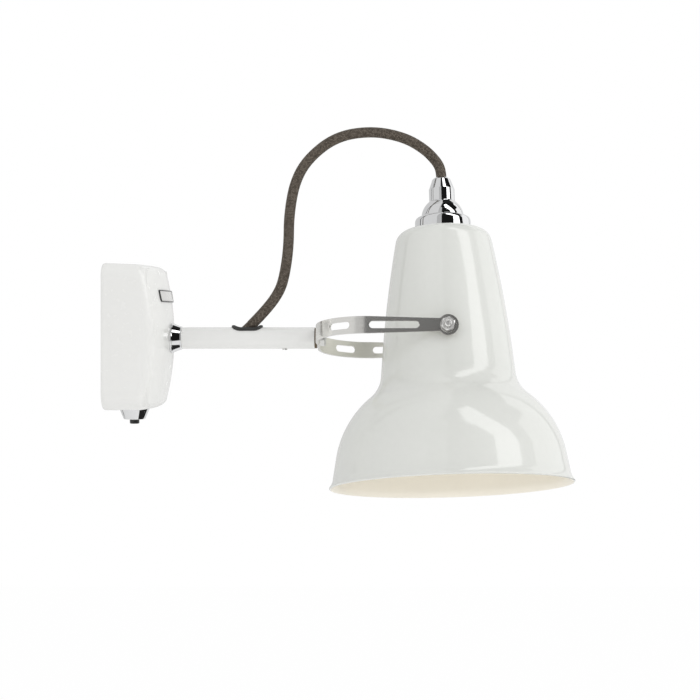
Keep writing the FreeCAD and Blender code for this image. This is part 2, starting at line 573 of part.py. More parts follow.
def shade_stations():
    """Points down the shade's outside with the heading at each; every stretch is tangent to the next."""
    slope = radians(SHADE_SLOPE)
    shoulder = V(SHADE_CROWN_RADIUS + SHADE_SHOULDER_RADIUS * cos(slope), 0,
                 SHADE_TOP - SHADE_SHOULDER_RADIUS * (1 - sin(slope)))
    stations = [(V(NIPPLE_RADIUS + SLIP, 0, SHADE_TOP), V(X)), (V(SHADE_CROWN_RADIUS, 0, SHADE_TOP), V(X))]
    for end in (shoulder, *(V(r, 0, h) for r, h in (SHADE_WAIST_TOP, SHADE_WAIST_FOOT, SHADE_BELL_FOOT))):
        stations.append((end, tangent_arc(*stations[-1], end)[1]))
    here, heading = stations[-1]
    skirt = here + heading * ((SHADE_SKIRT_FOOT - here.z) / heading.z)
    lip = V(SHADE_LIP[0], 0, SHADE_LIP[1])
    return stations + [(skirt, heading), (lip, tangent_arc(skirt, heading, lip)[1])]


def shade_line(inset):
    """The shade's outside, or a line that far inside it, from the crown's hole to the lip."""
    line_points = [(point + V(heading.z, 0, -heading.x) * inset, heading)
                   for point, heading in shade_stations()]
    edges = []
    for (start, heading), (end, end_heading) in zip(line_points, line_points[1:]):
        if heading.getAngle(end_heading) < 1e-6:
            edges.append(Part.LineSegment(start, end).toShape())
        else:
            edges.append(tangent_arc(start, heading, end)[0])
    return edges, line_points[0][0], line_points[-1][0]


def shade_wall():
    """The shade without its pivot holes: its outside and its inside, closed and revolved."""
    outside, crown, lip = shade_line(0)
    inside, inner_crown, inner_lip = shade_line(SHADE_WALL)
    closing = [Part.LineSegment(crown, inner_crown).toShape(), Part.LineSegment(lip, inner_lip).toShape()]
    return turned(Part.__sortEdges__(outside + inside + closing))


def shade():
    return shade_wall().cut(rod(PIVOT_RADIUS + SLIP, (0, -FORK_INSIDE, 0), 2 * FORK_INSIDE, Y))


def saddles():
    """The spacers inside and outside the wall at a pivot, moulded to the shade's curve."""
    blank = pipe(SADDLE_RADIUS, PIVOT_RADIUS + SLIP, (0, SADDLE_INSIDE, 0), FORK_INSIDE - SADDLE_INSIDE, Y)
    return sorted(blank.cut(shade_wall()).Solids, key=lambda solid: solid.CenterOfMass.y)


def pivot_bolt():
    """A bolt from inside the shade out through the saddle and the fork's ear."""
    head = rod(PIVOT_HEAD_RADIUS, (0, SADDLE_INSIDE - PIVOT_HEAD, 0), PIVOT_HEAD, Y)
    inner_edge = [e for e in head.Edges if e.BoundBox.YMax < SADDLE_INSIDE - PIVOT_HEAD / 2]
    head = head.makeFillet(PIVOT_HEAD_ROUND, inner_edge)
    shank = rod(PIVOT_RADIUS, (0, SADDLE_INSIDE, 0), EAR_OUTSIDE + PIVOT_OUT - SADDLE_INSIDE, Y)
    shank = shank.makeChamfer(PIVOT_CHAMFER, [e for e in shank.Edges if e.BoundBox.YMin > EAR_OUTSIDE])
    return head.fuse(shank).removeSplitter()


def pivot_washer():
    return pipe(PIVOT_WASHER_RADIUS, PIVOT_RADIUS + SLIP, (0, EAR_OUTSIDE, 0), PIVOT_WASHER, Y)


def pivot_nut():
    start = (0, EAR_OUTSIDE + PIVOT_WASHER, 0)
    nut = hexagon(PIVOT_NUT_FLATS, start, PIVOT_NUT, Y)
    outer = PIVOT_NUT_FLATS / sqrt(3) - NUT_BEVEL
    cone = Part.makeCone(outer + PIVOT_NUT, outer, PIVOT_NUT, V(*start), Y)
    return nut.common(cone).cut(rod(PIVOT_RADIUS + SLIP, start, PIVOT_NUT, Y))


# --- chrome fittings on top of the shade -----------------------------------------------------
def shade_collar():
    """The ring that clamps the shade, open underneath, with a rounded top edge."""
    low, high, hole = SHADE_TOP, COLLAR_TOP, DOME_RADIUS - DOME_SPIGOT
    turn = COLLAR_ROUND * (1 - sin(pi / 4))
    inner, roof = COLLAR_RADIUS - COLLAR_WALL, high - COLLAR_WALL
    return turned([
        line((hole, 0, high), (COLLAR_RADIUS - COLLAR_ROUND, 0, high)),
        arc((COLLAR_RADIUS - COLLAR_ROUND, 0, high), (COLLAR_RADIUS - turn, 0, high - turn),
            (COLLAR_RADIUS, 0, high - COLLAR_ROUND)),
        line((COLLAR_RADIUS, 0, high - COLLAR_ROUND), (COLLAR_RADIUS, 0, low)),
        line((COLLAR_RADIUS, 0, low), (inner, 0, low)),
        line((inner, 0, low), (inner, 0, roof)),
        line((inner, 0, roof), (hole, 0, roof)),
        line((hole, 0, roof), (hole, 0, high)),
    ])


def holder_dome():
    """The domed cap on the collar, with a spigot that centres it and stands on the shade."""
    low, high, spigot = COLLAR_TOP, GRIP_BOTTOM, DOME_RADIUS - DOME_SPIGOT - SLIP
    hole, wall = NIPPLE_RADIUS + SLIP, COLLAR_WALL
    return turned([
        line((spigot, 0, SHADE_TOP), (spigot, 0, low)),
        line((spigot, 0, low), (DOME_RADIUS, 0, low)),
        arc((DOME_RADIUS, 0, low), (DOME_MIDDLE[0], 0, low + DOME_MIDDLE[1]), (DOME_TOP_RADIUS, 0, high)),
        line((DOME_TOP_RADIUS, 0, high), (hole, 0, high)),
        line((hole, 0, high), (hole, 0, high - wall)),
        line((hole, 0, high - wall), (DOME_TOP_RADIUS - wall, 0, high - wall)),
        arc((DOME_TOP_RADIUS - wall, 0, high - wall), (DOME_INNER_MIDDLE[0], 0, low + DOME_INNER_MIDDLE[1]),
            (spigot - wall, 0, low)),
        line((spigot - wall, 0, low), (spigot - wall, 0, SHADE_TOP)),
        line((spigot - wall, 0, SHADE_TOP), (spigot, 0, SHADE_TOP)),
    ])


def cord_grip():
    """The tapered grip that the flex enters, screwed down on the nipple."""
    shoulder = GRIP_BOTTOM + GRIP_STRAIGHT
    edge = shoulder + GRIP_TAPER
    thread = GRIP_BOTTOM + GRIP_THREAD
    return turned_points([
        (NIPPLE_RADIUS + SLIP, GRIP_BOTTOM), (GRIP_RADIUS - GRIP_BEVEL, GRIP_BOTTOM),
        (GRIP_RADIUS, GRIP_BOTTOM + GRIP_BEVEL),
        (GRIP_RADIUS, shoulder), (GRIP_TAPER_RADIUS, edge), (GRIP_TAPER_RADIUS - GRIP_EDGE, GRIP_TOP),
        (FLEX_RADIUS + SLIP, GRIP_TOP), (FLEX_RADIUS + SLIP, thread), (NIPPLE_RADIUS + SLIP, thread),
    ])


def holder_nipple():
    """The hollow threaded tube that joins grip, dome, shade and lampholder."""
    return pipe(NIPPLE_RADIUS, NIPPLE_BORE, (0, 0, NIPPLE_FOOT), GRIP_BOTTOM + GRIP_THREAD - NIPPLE_FOOT, Z)


# --- lampholder and bulb ---------------------------------------------------------------------
def lampholder():
    body = rod(HOLDER_RADIUS, (0, 0, HOLDER_FLOOR), HOLDER_LENGTH, Z)
    mouth_edge = [e for e in body.Edges if e.BoundBox.ZMax < HOLDER_FLOOR + HOLDER_MOUTH]
    body = body.makeFillet(HOLDER_ROUND, mouth_edge)
    body = body.cut(rod(SLEEVE_OUTER, (0, 0, HOLDER_FLOOR), SOCKET_ROOF - HOLDER_FLOOR, Z))
    body = body.cut(rod(HOLDER_MOUTH_RADIUS, (0, 0, HOLDER_FLOOR), HOLDER_MOUTH, Z))
    return body.cut(rod(NIPPLE_RADIUS + SLIP, (0, 0, NIPPLE_FOOT), HOLDER_TOP - NIPPLE_FOOT, Z))


def holder_sleeve():
    foot = HOLDER_FLOOR + HOLDER_MOUTH
    return pipe(SLEEVE_OUTER, CAP_RADIUS + SLIP, (0, 0, foot), SOCKET_ROOF - foot, Z)


def holder_contact():
    """The round contact under the socket's roof."""
    return rod(CONTACT_RADIUS, (0, 0, CONTACT_FACE), CONTACT_THICK, Z)


def bulb_cap():
    shell_top = CONTACT_FACE - CAP_TIP
    foot = shell_top - CAP_LENGTH
    return turned_points([
        (0, foot), (CAP_RADIUS, foot), (CAP_RADIUS, shell_top - CAP_SHOULDER),
        (CAP_SHOULDER_RADIUS, shell_top), (CAP_TIP_RADIUS, CONTACT_FACE), (0, CONTACT_FACE),
    ])


def bulb_globe():
    """A round bulb whose neck sweeps out of the cap."""
    top = CONTACT_FACE - CAP_TIP - CAP_LENGTH
    centre = CONTACT_FACE - BULB_LENGTH + BULB_RADIUS
    angle = radians(BULB_NECK_ANGLE)
    join = (BULB_RADIUS * cos(angle), 0, centre + BULB_RADIUS * sin(angle))
    neck = (CAP_RADIUS, 0, top)
    waist = (BULB_NECK_RADIUS, 0, top + (join[2] - top) * BULB_NECK_PLACE)
    return turned([
        arc(neck, waist, join),
        arc(join, (BULB_RADIUS, 0, centre), (0, 0, centre - BULB_RADIUS)),
        line((0, 0, centre - BULB_RADIUS), (0, 0, top)),
        line((0, 0, top), neck),
    ])


# --- build -----------------------------------------------------------------------------------
def build_base():
    save("base_housing", base_housing())
    save("housing_set_screws", both_sides(set_screw()))
    save("wall_bracket", wall_bracket())
    block_body, sleeves, clamp_screws, fixing = terminal_block()
    save("terminal_block", block_body)
    save("terminal_sleeves", sleeves)
    save("terminal_clamp_screws", clamp_screws)
    save("terminal_fixing_screw", fixing)
    body, bezel, button = switch_pieces()
    save("switch_body", body)
    save("switch_bezel", bezel)
    save("switch_button", button)
    save("live_core", flex("live_core", LIVE_CORE, CORE_RADIUS))
    save("neutral_core", flex("neutral_core", NEUTRAL_CORE, CORE_RADIUS))
    save("switch_lead", flex("switch_lead", SWITCH_LEAD, CORE_RADIUS))


def build_arm():
    save("arm_collar", arm_collar())
    save("arm_stud", arm_stud())
    save("arm_washer", arm_washer())
    save("arm_nut", arm_nut())
    save("arm_tube", arm_tube())
    save("arm_end_plug", arm_end_plug())
    save("plug_screw", plug_screw())
    save("cord_grommet", cord_grommet())
    save("flex_in_arm", flex("flex_in_arm", FLEX_INSIDE, FLEX_RADIUS))
    save("friction_washer", friction_washer())
    save("fork_bolt", fork_bolt())


def build_fork():
    save("fork", in_fork(fork()))
    save("fork_spring_washer", in_fork(fork_spring_washer()))


def build_shade():
    inner_saddle, outer_saddle = saddles()
    pieces = {
        "shade": shade(),
        "shade_collar": shade_collar(),
        "holder_dome": holder_dome(),
        "cord_grip": cord_grip(),
        "holder_nipple": holder_nipple(),
        "lampholder": lampholder(),
        "holder_sleeve": holder_sleeve(),
        "holder_contact": holder_contact(),
        "bulb_cap": bulb_cap(),
        "bulb_globe": bulb_globe(),
        "flex_in_grip": rod(FLEX_RADIUS, (0, 0, NIPPLE_FOOT), GRIP_TOP - NIPPLE_FOOT, Z),
        "ear_saddles": both_sides(outer_saddle),
        "inner_saddles": both_sides(inner_saddle),
        "pivot_bolts": both_sides(pivot_bolt()),
        "pivot_washers": both_sides(pivot_washer()),
        "pivot_nuts": both_sides(pivot_nut()),
    }
    for name, shape in pieces.items():
        save(name, in_shade(shape))


def build_free_flex():
    """The loop between the grommet and the grip, in two lengths that meet a little above the arm."""
    grip = in_shade(Part.Vertex(0, 0, GRIP_TOP)).Point
    above = in_shade(Part.Vertex(0, 0, GRIP_TOP + FLEX_EXIT)).Point
    save("flex_lower", flex("flex_lower", FLEX_LOWER, FLEX_RADIUS))
    save("flex_upper", flex("flex_upper", FLEX_UPPER + [tuple(above), tuple(grip)], FLEX_RADIUS))


os.makedirs("parts", exist_ok=True)
build_base()
build_arm()
build_fork()
build_shade()
build_free_flex()
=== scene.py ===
from math import asin, atan, copysign, cos, floor, pi, radians, sin, sqrt, tan

import bmesh
import bpy
from mathutils import Matrix, Vector


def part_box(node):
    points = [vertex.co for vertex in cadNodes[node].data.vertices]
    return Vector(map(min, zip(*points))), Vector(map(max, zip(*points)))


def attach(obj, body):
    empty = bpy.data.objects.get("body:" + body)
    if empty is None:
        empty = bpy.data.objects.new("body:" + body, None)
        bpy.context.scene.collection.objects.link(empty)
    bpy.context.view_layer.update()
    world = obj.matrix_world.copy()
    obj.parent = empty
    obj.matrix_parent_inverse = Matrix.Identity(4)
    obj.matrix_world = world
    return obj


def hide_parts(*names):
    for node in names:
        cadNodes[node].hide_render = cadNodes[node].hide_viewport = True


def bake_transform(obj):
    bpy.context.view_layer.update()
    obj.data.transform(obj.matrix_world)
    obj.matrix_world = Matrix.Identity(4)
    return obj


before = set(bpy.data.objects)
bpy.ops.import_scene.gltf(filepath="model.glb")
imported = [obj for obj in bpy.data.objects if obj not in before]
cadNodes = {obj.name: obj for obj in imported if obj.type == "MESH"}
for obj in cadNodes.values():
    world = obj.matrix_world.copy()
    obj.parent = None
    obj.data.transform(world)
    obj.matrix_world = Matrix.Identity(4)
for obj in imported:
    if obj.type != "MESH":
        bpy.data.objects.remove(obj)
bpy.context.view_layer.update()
scene = bpy.context.scene
scene.view_settings.view_transform = "Standard"
mm = 0.001
print("frame loaded")

# where the fork and the shade stand: turned about the arm, then leaning in the fork
pose = {"reach": 196.6, "twist": -11.1, "lean": -1.8}
inFork = Matrix.Rotation(radians(pose["twist"]), 4, "X")
toPivot = Matrix.Translation((pose["reach"] * mm, 0, 0))
inShade = inFork @ toPivot @ Matrix.Rotation(radians(pose["lean"]), 4, "Y")
alongArm = Matrix.Rotation(radians(90), 4, "Y")


# camera, light and floor
def addCamera():
    photo = {"place": (0.1795, -1.0, 0.0112), "lens": 87.2, "shift": (-0.0971, -0.0443)}
    data = bpy.data.cameras.new("camera")
    data.lens, data.sensor_width = photo["lens"], 36
    data.shift_x, data.shift_y = photo["shift"]
    camera = bpy.data.objects.new("camera", data)
    camera.location = photo["place"]
    camera.rotation_euler = (pi / 2, 0, 0)
    scene.collection.objects.link(camera)
    scene.camera = camera


def addLamp(name, place, target, size, radiance, spread=180):
    # radiance is the brightness of the lamp's own face, so the power follows its area
    data = bpy.data.lights.new(name, "AREA")
    data.shape = "RECTANGLE"
    data.size, data.size_y = size
    data.energy = radiance * pi * size[0] * size[1]
    data.spread = radians(spread)
    lamp = bpy.data.objects.new(name, data)
    lamp.location = place
    lamp.rotation_euler = (Vector(target) - Vector(place)).to_track_quat("-Z", "Y").to_euler()
    lamp.visible_glossy = False  # the cards are what the chrome mirrors
    scene.collection.objects.link(lamp)


def addWorld():
    sky = {"light": 0.78, "seen": 1.0}
    world = bpy.data.worlds.new("studio")
    scene.world = world
    world.use_nodes = True
    tree = world.node_tree
    light = tree.nodes["Background"]
    light.inputs["Color"].default_value = (1, 1, 1, 1)
    path = newNode(tree, "LightPath")
    seen = mathNode(tree, "MAXIMUM", path.outputs["Is Camera Ray"], path.outputs["Is Transmission Ray"])
    seen = mathNode(tree, "MAXIMUM", seen, path.outputs["Is Glossy Ray"])
    strength = newNode(tree, "MapRange")
    strength.inputs["To Min"].default_value = sky["light"]
    strength.inputs["To Max"].default_value = sky["seen"]
    tree.links.new(seen, strength.inputs["Value"])
    tree.links.new(strength.outputs["Result"], light.inputs["Strength"])


def addFloor():
    ground = {"height": -0.62, "size": 6.0, "shade": 0.88, "whiteShare": 0.98}
    half = ground["size"] / 2
    plane = meshObject("floor", [(-half, -half, 0), (half, -half, 0), (half, half, 0), (-half, half, 0)],
                       [(0, 1, 2, 3)])
    plane.location.z = ground["height"]
    paint, tree = newMaterial("floorWhite")
    main = tree.nodes["Principled BSDF"]
    main.inputs["Base Color"].default_value = (*[ground["shade"]] * 3, 1)
    main.inputs["Roughness"].default_value = 0.9
    glow = newNode(tree, "Emission")
    path = newNode(tree, "LightPath")
    share = mathNode(tree, "MULTIPLY", path.outputs["Is Camera Ray"], ground["whiteShare"])
    mix = newNode(tree, "MixShader")
    tree.links.new(share, mix.inputs["Fac"])
    tree.links.new(main.outputs[0], mix.inputs[1])
    tree.links.new(glow.outputs[0], mix.inputs[2])
    tree.links.new(mix.outputs[0], tree.nodes["Material Output"].inputs["Surface"])
    plane.data.materials.append(paint)


# what polished metal mirrors, as patches round the lamp: name, azimuths from the camera towards the right
# (of the lower edge, then of the upper one where it differs), heights above the level in degrees, and the
# distance and brightness where they differ from addCard's own
cards = (
    ("cardLeft", (-178, -112), (-50, 88), 1.45, 0.66),
    ("cardLeftSeam", (-112, -107.5), (-50, 80), 1.45, 0.03),
    ("cardLeftNear", (-107.5, -27), (-50, 88), 1.45, 0.72),
    ("cardBesideCamera", (-27, -6), (-50, 56), 1.45, 0.5),
    ("cardOverCamera", (-27, -16), (56, 88), 1.45, 0.5),
    ("flagLow", (-6, 92), (-25, 8), 1.15, 0.01),
    ("flagMiddle", (-6, 44, -6, 50), (8, 36)),
    ("flagUpper", (-6, 50, -6, 38), (36, 48)),
    ("flagHigh", (-6, 38, -6, 22), (48, 58)),
    ("flagTop", (-16, 22), (58, 76)),
    ("windowLow", (44, 77, 50, 74), (8, 36), 1.5, 2.3),
    ("windowMiddle", (50, 74, 38, 67), (36, 48), 1.5, 2.3),
    ("windowHigh", (38, 67, 22, 62), (48, 58), 1.5, 2.3),
    ("windowTop", (22, 62), (58, 76), 1.5, 2.3),
    ("flagRight", (77, 92, 74, 92), (8, 36)),
    ("flagRightUpper", (74, 116, 67, 116), (36, 48)),
    ("flagRightHigh", (67, 116, 62, 116), (48, 58)),
    ("flagRightTop", (62, 116), (58, 76)),
    ("flagOverhead", (-16, 116), (76, 89)),
    ("flagBehind", (116, 178), (48, 88), 1.45, 0.02),
    ("cardRightSeam", (137, 140.5), (-20, 48), 1.45, 0.25),
    ("cardRight", (140.5, 178), (-20, 48), 1.45, 0.85),
    ("flagUnder", (34, 150), (-50, -25), 0.5, 0.02),
    ("flagFarUnder", (34, 178), (-88, -50), 0.5, 0.02),
)


def addCard(name, azimuths, heights, distance=1.45, glow=0.01):
    middle, steps = Vector((0.17, 0, 0.05)), 8
    points, faces = [], []
    lower, upper = Vector(azimuths[:2]), Vector(azimuths[-2:])
    for row in range(steps + 1):
        left, right = lower.lerp(upper, row / steps)
        for column in range(steps + 1):
            turn = radians(left + (right - left) * column / steps)
            rise = radians(heights[0] + (heights[1] - heights[0]) * row / steps)
            points.append(middle + distance * Vector((sin(turn) * cos(rise),
                                                      -cos(turn) * cos(rise), sin(rise))))
    for row in range(steps):
        for column in range(steps):
            low = row * (steps + 1) + column
            faces.append((low, low + 1, low + steps + 2, low + steps + 1))
    card = meshObject(name, points, faces)
    card.visible_camera = card.visible_diffuse = card.visible_shadow = card.visible_transmission = False
    paint, tree = newMaterial(name)
    light = newNode(tree, "Emission")
    light.inputs["Strength"].default_value = glow
    tree.links.new(light.outputs[0], tree.nodes["Material Output"].inputs["Surface"])
    card.data.materials.append(paint)


def addStudio():
    addWorld()
    addFloor()
    addLamp("keyLamp", (1.0, -0.8, 0.9), (0.19, 0, 0), (0.6, 0.6), 2.4)
    addLamp("fillLamp", (-0.7, -1.0, 0.5), (0.12, 0, 0), (0.8, 0.8), 0.6)
    addLamp("rearLamp", (0.3, 1.1, 0.7), (0.15, 0, 0), (1.2, 0.6), 1.2)
    addLamp("sideLamp", (1.5, -0.15, 0.25), (0.1, 0, 0), (0.8, 0.8), 1.5)
    addLamp("bounceLamp", (0.24, -0.3, -0.52), (0.2, 0.01, -0.08), (0.35, 0.35), 0.18, 50)
    for card in cards:
        addCard(*card)


# shader helpers
def newNode(tree, kind):
    return tree.nodes.new("ShaderNode" + kind)


def newMaterial(name):
    material = bpy.data.materials.new(name)
    material.use_nodes = True
    return material, material.node_tree


# mesh helpers
def meshObject(name, points, faces):
    mesh = bpy.data.meshes.new(name)
    mesh.from_pydata(points, [], faces)
    mesh.update()
    made = bpy.data.objects.new(name, mesh)
    scene.collection.objects.link(made)
    return made


def ringFaces(rows, count):
    # quads between rows of points that each run once round
    faces = []
    for row in range(rows - 1):
        for step in range(count):
            after = (step + 1) % count
            faces.append((row * count + step, row * count + after,
                          (row + 1) * count + after, (row + 1) * count + step))
    return faces


def turnedFaces(around, count, closed=True):
    # quads between sections of count points that stand round an axis
    faces = []
    for step in range(around):
        here, there = step * count, (step + 1) % around * count
        for row in range(count if closed else count - 1):
            above = (row + 1) % count
            faces.append((here + row, there + row, there + above, here + above))
    return faces


def facedOutwards(made, merge=0, sliver=0):
    # join points that meet, then turn every face outwards
    shaped = bmesh.new()
    shaped.from_mesh(made.data)
    if merge:
        bmesh.ops.remove_doubles(shaped, verts=shaped.verts, dist=merge)
        bmesh.ops.dissolve_degenerate(shaped, edges=shaped.edges, dist=sliver)
    bmesh.ops.recalc_face_normals(shaped, faces=shaped.faces)
    shaped.to_mesh(made.data)
    shaped.free()
    return made


def fitted(made, body, material, replaced=(), sharp=35):
    # shade it, give it its finish, and let it ride on its body
    mesh = made.data
    mesh.polygons.foreach_set("use_smooth", [True] * len(mesh.polygons))
    mesh.set_sharp_from_angle(angle=radians(sharp))
    if material:
        mesh.materials.append(material)
    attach(made, body)
    if replaced:
        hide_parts(*replaced)


def softened(outline):
    # an outline of (radius, height[, rounding]) in mm with its marked corners rounded by arcs
    count, steps, line = len(outline), 4, []
    for index, corner in enumerate(outline):
        here = Vector(corner[:2])
        rounding = corner[2] if len(corner) > 2 else 0
        if not rounding:
            line.append(here)
            continue
        before = Vector(outline[index - 1][:2]) - here
        after = Vector(outline[(index + 1) % count][:2]) - here
        turn = pi - before.angle(after)
        reach = min(rounding * tan(turn / 2), 0.49 * before.length, 0.49 * after.length)
        start, end = here + before.normalized() * reach, here + after.normalized() * reach
        for step in range(steps + 1):
            share = step / steps
            line.append(start.lerp(here, share).lerp(here.lerp(end, share), share))
    return line


def turnedPiece(name, sections, start=0.0, merge=0, sliver=0):
    # (radius, height) sections in mm, one after another round Z
    points = []
    for step, section in enumerate(sections):
        angle = 2 * pi * step / len(sections) + start
        for radius, height in section:
            points.append((radius * cos(angle) * mm, radius * sin(angle) * mm, height * mm))
    made = meshObject(name, points, turnedFaces(len(sections), len(sections[0])))
    return facedOutwards(made, merge, sliver)


def lathed(name, line, segments=128):
    return turnedPiece(name, [line] * segments, merge=1e-7, sliver=1e-8)


def moved(made, *matrices):
    for matrix in matrices:
        made.data.transform(matrix)
    return made


def mirroredCopy(made, name):
    # the same piece on the other side of the fork, in the fork's own plane
    other = made.copy()
    other.data = made.data.copy()
    other.name = name
    other.data.transform(inFork @ Matrix.Scale(-1, 4, (0, 1, 0)) @ inFork.inverted())
    other.data.flip_normals()
    scene.collection.objects.link(other)
    return other


# shader groups: each one is an effect that several finishes share
def newGroup(name, inputs, outputs):
    group = bpy.data.node_groups.new(name, "ShaderNodeTree")
    for label, kind, value in inputs:
        socket = group.interface.new_socket(label, in_out="INPUT", socket_type=kind)
        if value is not None:
            socket.default_value = value
    for label, kind in outputs:
        group.interface.new_socket(label, in_out="OUTPUT", socket_type=kind)
    return group, group.nodes.new("NodeGroupInput"), group.nodes.new("NodeGroupOutput")


def mathNode(tree, operation, first, second=None):
    node = newNode(tree, "Math")
    node.operation = operation
    for socket, value in zip(node.inputs, (first, second)):
        if isinstance(value, (int, float)):
            socket.default_value = value
        elif value is not None:
            tree.links.new(value, socket)
    return node.outputs[0]


def mixColours(tree, factor, first, second):
    node = newNode(tree, "Mix")
    node.data_type = "RGBA"
    for socket, value in ((node.inputs[0], factor), (node.inputs[6], first), (node.inputs[7], second)):
        if isinstance(value, bpy.types.NodeSocket):
            tree.links.new(value, socket)
        else:
            socket.default_value = value
    return node.outputs[2]


def grainGroup():
    # grain that can be stretched, with slow cloudy changes of colour and gloss over it
    group, given, result = newGroup(
        "surfaceGrain",
        [("Vector", "NodeSocketVector", None), ("Stretch", "NodeSocketVector", (1, 1, 1)),
         ("Colour", "NodeSocketColor", (1, 1, 1, 1)), ("Worn Colour", "NodeSocketColor", (1, 1, 1, 1)),
         ("Grain Size", "NodeSocketFloat", 500.0), ("Cloud Size", "NodeSocketFloat", 12.0),
         ("Roughness Low", "NodeSocketFloat", 0.1), ("Roughness High", "NodeSocketFloat", 0.2)],
        [("Colour", "NodeSocketColor"), ("Roughness", "NodeSocketFloat"), ("Height", "NodeSocketFloat")])
    scaled = newNode(group, "VectorMath")
    scaled.operation = "MULTIPLY"
    fine, cloud = newNode(group, "TexNoise"), newNode(group, "TexNoise")
    fine.inputs["Detail"].default_value, cloud.inputs["Detail"].default_value = 2.0, 3.0
    group.links.new(scaled.outputs[0], fine.inputs["Vector"])
    for label, socket in (("Vector", scaled.inputs[0]), ("Stretch", scaled.inputs[1]),
                          ("Vector", cloud.inputs["Vector"]), ("Grain Size", fine.inputs["Scale"]),
                          ("Cloud Size", cloud.inputs["Scale"])):
        group.links.new(given.outputs[label], socket)
    both = mathNode(group, "ADD", mathNode(group, "MULTIPLY", fine.outputs[0], 0.5),
                    mathNode(group, "MULTIPLY", cloud.outputs[0], 0.5))
    spread = newNode(group, "MapRange")
    spread.inputs["From Min"].default_value, spread.inputs["From Max"].default_value = 0.35, 0.65
    group.links.new(both, spread.inputs["Value"])
    gloss = newNode(group, "MapRange")
    group.links.new(spread.outputs[0], gloss.inputs["Value"])
    group.links.new(given.outputs["Roughness Low"], gloss.inputs["To Min"])
    group.links.new(given.outputs["Roughness High"], gloss.inputs["To Max"])
    colour = mixColours(group, spread.outputs[0], given.outputs["Colour"], given.outputs["Worn Colour"])
    group.links.new(colour, result.inputs["Colour"])
    group.links.new(gloss.outputs[0], result.inputs["Roughness"])
    group.links.new(fine.outputs[0], result.inputs["Height"])
    return group


def braidGroup():
    # a plain weave of two sets of strands round a flex; the UV map holds the share of a turn and the metres
    group, given, result = newGroup(
        "braidWeave",
        [("Vector", "NodeSocketVector", None), ("Strands", "NodeSocketFloat", 16.0),
         ("Lay", "NodeSocketFloat", 0.024), ("Dark Yarn", "NodeSocketColor", (0.1, 0.1, 0.1, 1)),
         ("Light Yarn", "NodeSocketColor", (0.3, 0.3, 0.3, 1)),
         ("Painted Gap Shade", "NodeSocketColor", (0.02, 0.02, 0.02, 1))],
        [("Colour", "NodeSocketColor"), ("Roughness", "NodeSocketFloat"), ("Height", "NodeSocketFloat")])
    parts = newNode(group, "SeparateXYZ")
    group.links.new(given.outputs["Vector"], parts.inputs[0])
    along = mathNode(group, "DIVIDE", parts.outputs[1], given.outputs["Lay"])
    crowns, numbers = [], []
    for operation in ("ADD", "SUBTRACT"):
        turns = mathNode(group, operation, parts.outputs[0], along)
        place = mathNode(group, "MULTIPLY", turns, given.outputs["Strands"])
        offset = mathNode(group, "SUBTRACT", mathNode(group, "FRACT", place), 0.5)
        slope = mathNode(group, "MULTIPLY", mathNode(group, "ABSOLUTE", offset), 2.0)
        crowns.append(mathNode(group, "SUBTRACT", 1.0, slope))
        numbers.append(mathNode(group, "FLOOR", place))
    over = mathNode(group, "FLOORED_MODULO", mathNode(group, "ADD", *numbers), 2.0)
    top = newNode(group, "Mix")
    group.links.new(over, top.inputs[0])
    group.links.new(crowns[0], top.inputs[2])
    group.links.new(crowns[1], top.inputs[3])
    crown = top.outputs[0]
    fleck = newNode(group, "TexWhiteNoise")
    fleck.noise_dimensions = "3D"
    cell = newNode(group, "CombineXYZ")
    group.links.new(numbers[0], cell.inputs[0])
    group.links.new(numbers[1], cell.inputs[1])
    group.links.new(cell.outputs[0], fleck.inputs["Vector"])
    yarn = mixColours(group, fleck.outputs["Value"], given.outputs["Dark Yarn"], given.outputs["Light Yarn"])
    # the strands darken towards their edges and into the gaps between them: painted shade
    shade = newNode(group, "MapRange")
    shade.inputs["From Min"].default_value, shade.inputs["From Max"].default_value = 0.05, 0.45
    group.links.new(crown, shade.inputs["Value"])
    colour = mixColours(group, shade.outputs[0], given.outputs["Painted Gap Shade"], yarn)
    rough = mathNode(group, "SUBTRACT", 0.95, mathNode(group, "MULTIPLY", crown, 0.2))
    group.links.new(colour, result.inputs["Colour"])
    group.links.new(rough, result.inputs["Roughness"])
    group.links.new(crown, result.inputs["Height"])
    return group


def finish(name, group, values, shader, bump=(0.0, 0.001), coordinates="Object"):
    # a shared group drives colour, roughness and bump, and the shader's own sockets hold the rest
    material, tree = newMaterial(name)
    main = tree.nodes["Principled BSDF"]
    effect = newNode(tree, "Group")
    effect.node_tree = group
    place = newNode(tree, "TexCoord")
    tree.links.new(place.outputs[coordinates], effect.inputs["Vector"])
    for label, value in values.items():
        effect.inputs[label].default_value = value
    for label, value in shader.items():
        main.inputs[label].default_value = value
    tree.links.new(effect.outputs["Colour"], main.inputs["Base Color"])
    tree.links.new(effect.outputs["Roughness"], main.inputs["Roughness"])
    if bump[0]:
        relief = newNode(tree, "Bump")
        relief.inputs["Strength"].default_value, relief.inputs["Distance"].default_value = bump
        tree.links.new(effect.outputs["Height"], relief.inputs["Height"])
        tree.links.new(relief.outputs[0], main.inputs["Normal"])
    return material


def plainFinish(name, colour, worn, low, high, shader=None, size=500.0, cloud=14.0, stretch=(1, 1, 1),
                bump=(0.0, 0.001)):
    values = {"Colour": (*colour, 1), "Worn Colour": (*worn, 1), "Roughness Low": low, "Roughness High": high,
              "Grain Size": size, "Cloud Size": cloud, "Stretch": stretch}
    return finish(name, grain, values, shader or {}, bump)


grain, weave = grainGroup(), braidGroup()
enamelGloss = {"Coat Weight": 0.3, "Coat Roughness": 0.04, "IOR": 1.5}
metal = {"Metallic": 1.0}
enamel = {"size": 260, "bump": (0.05, 0.0002)}
brushed = {"stretch": (0.05, 0.05, 1.6), "size": 1400}
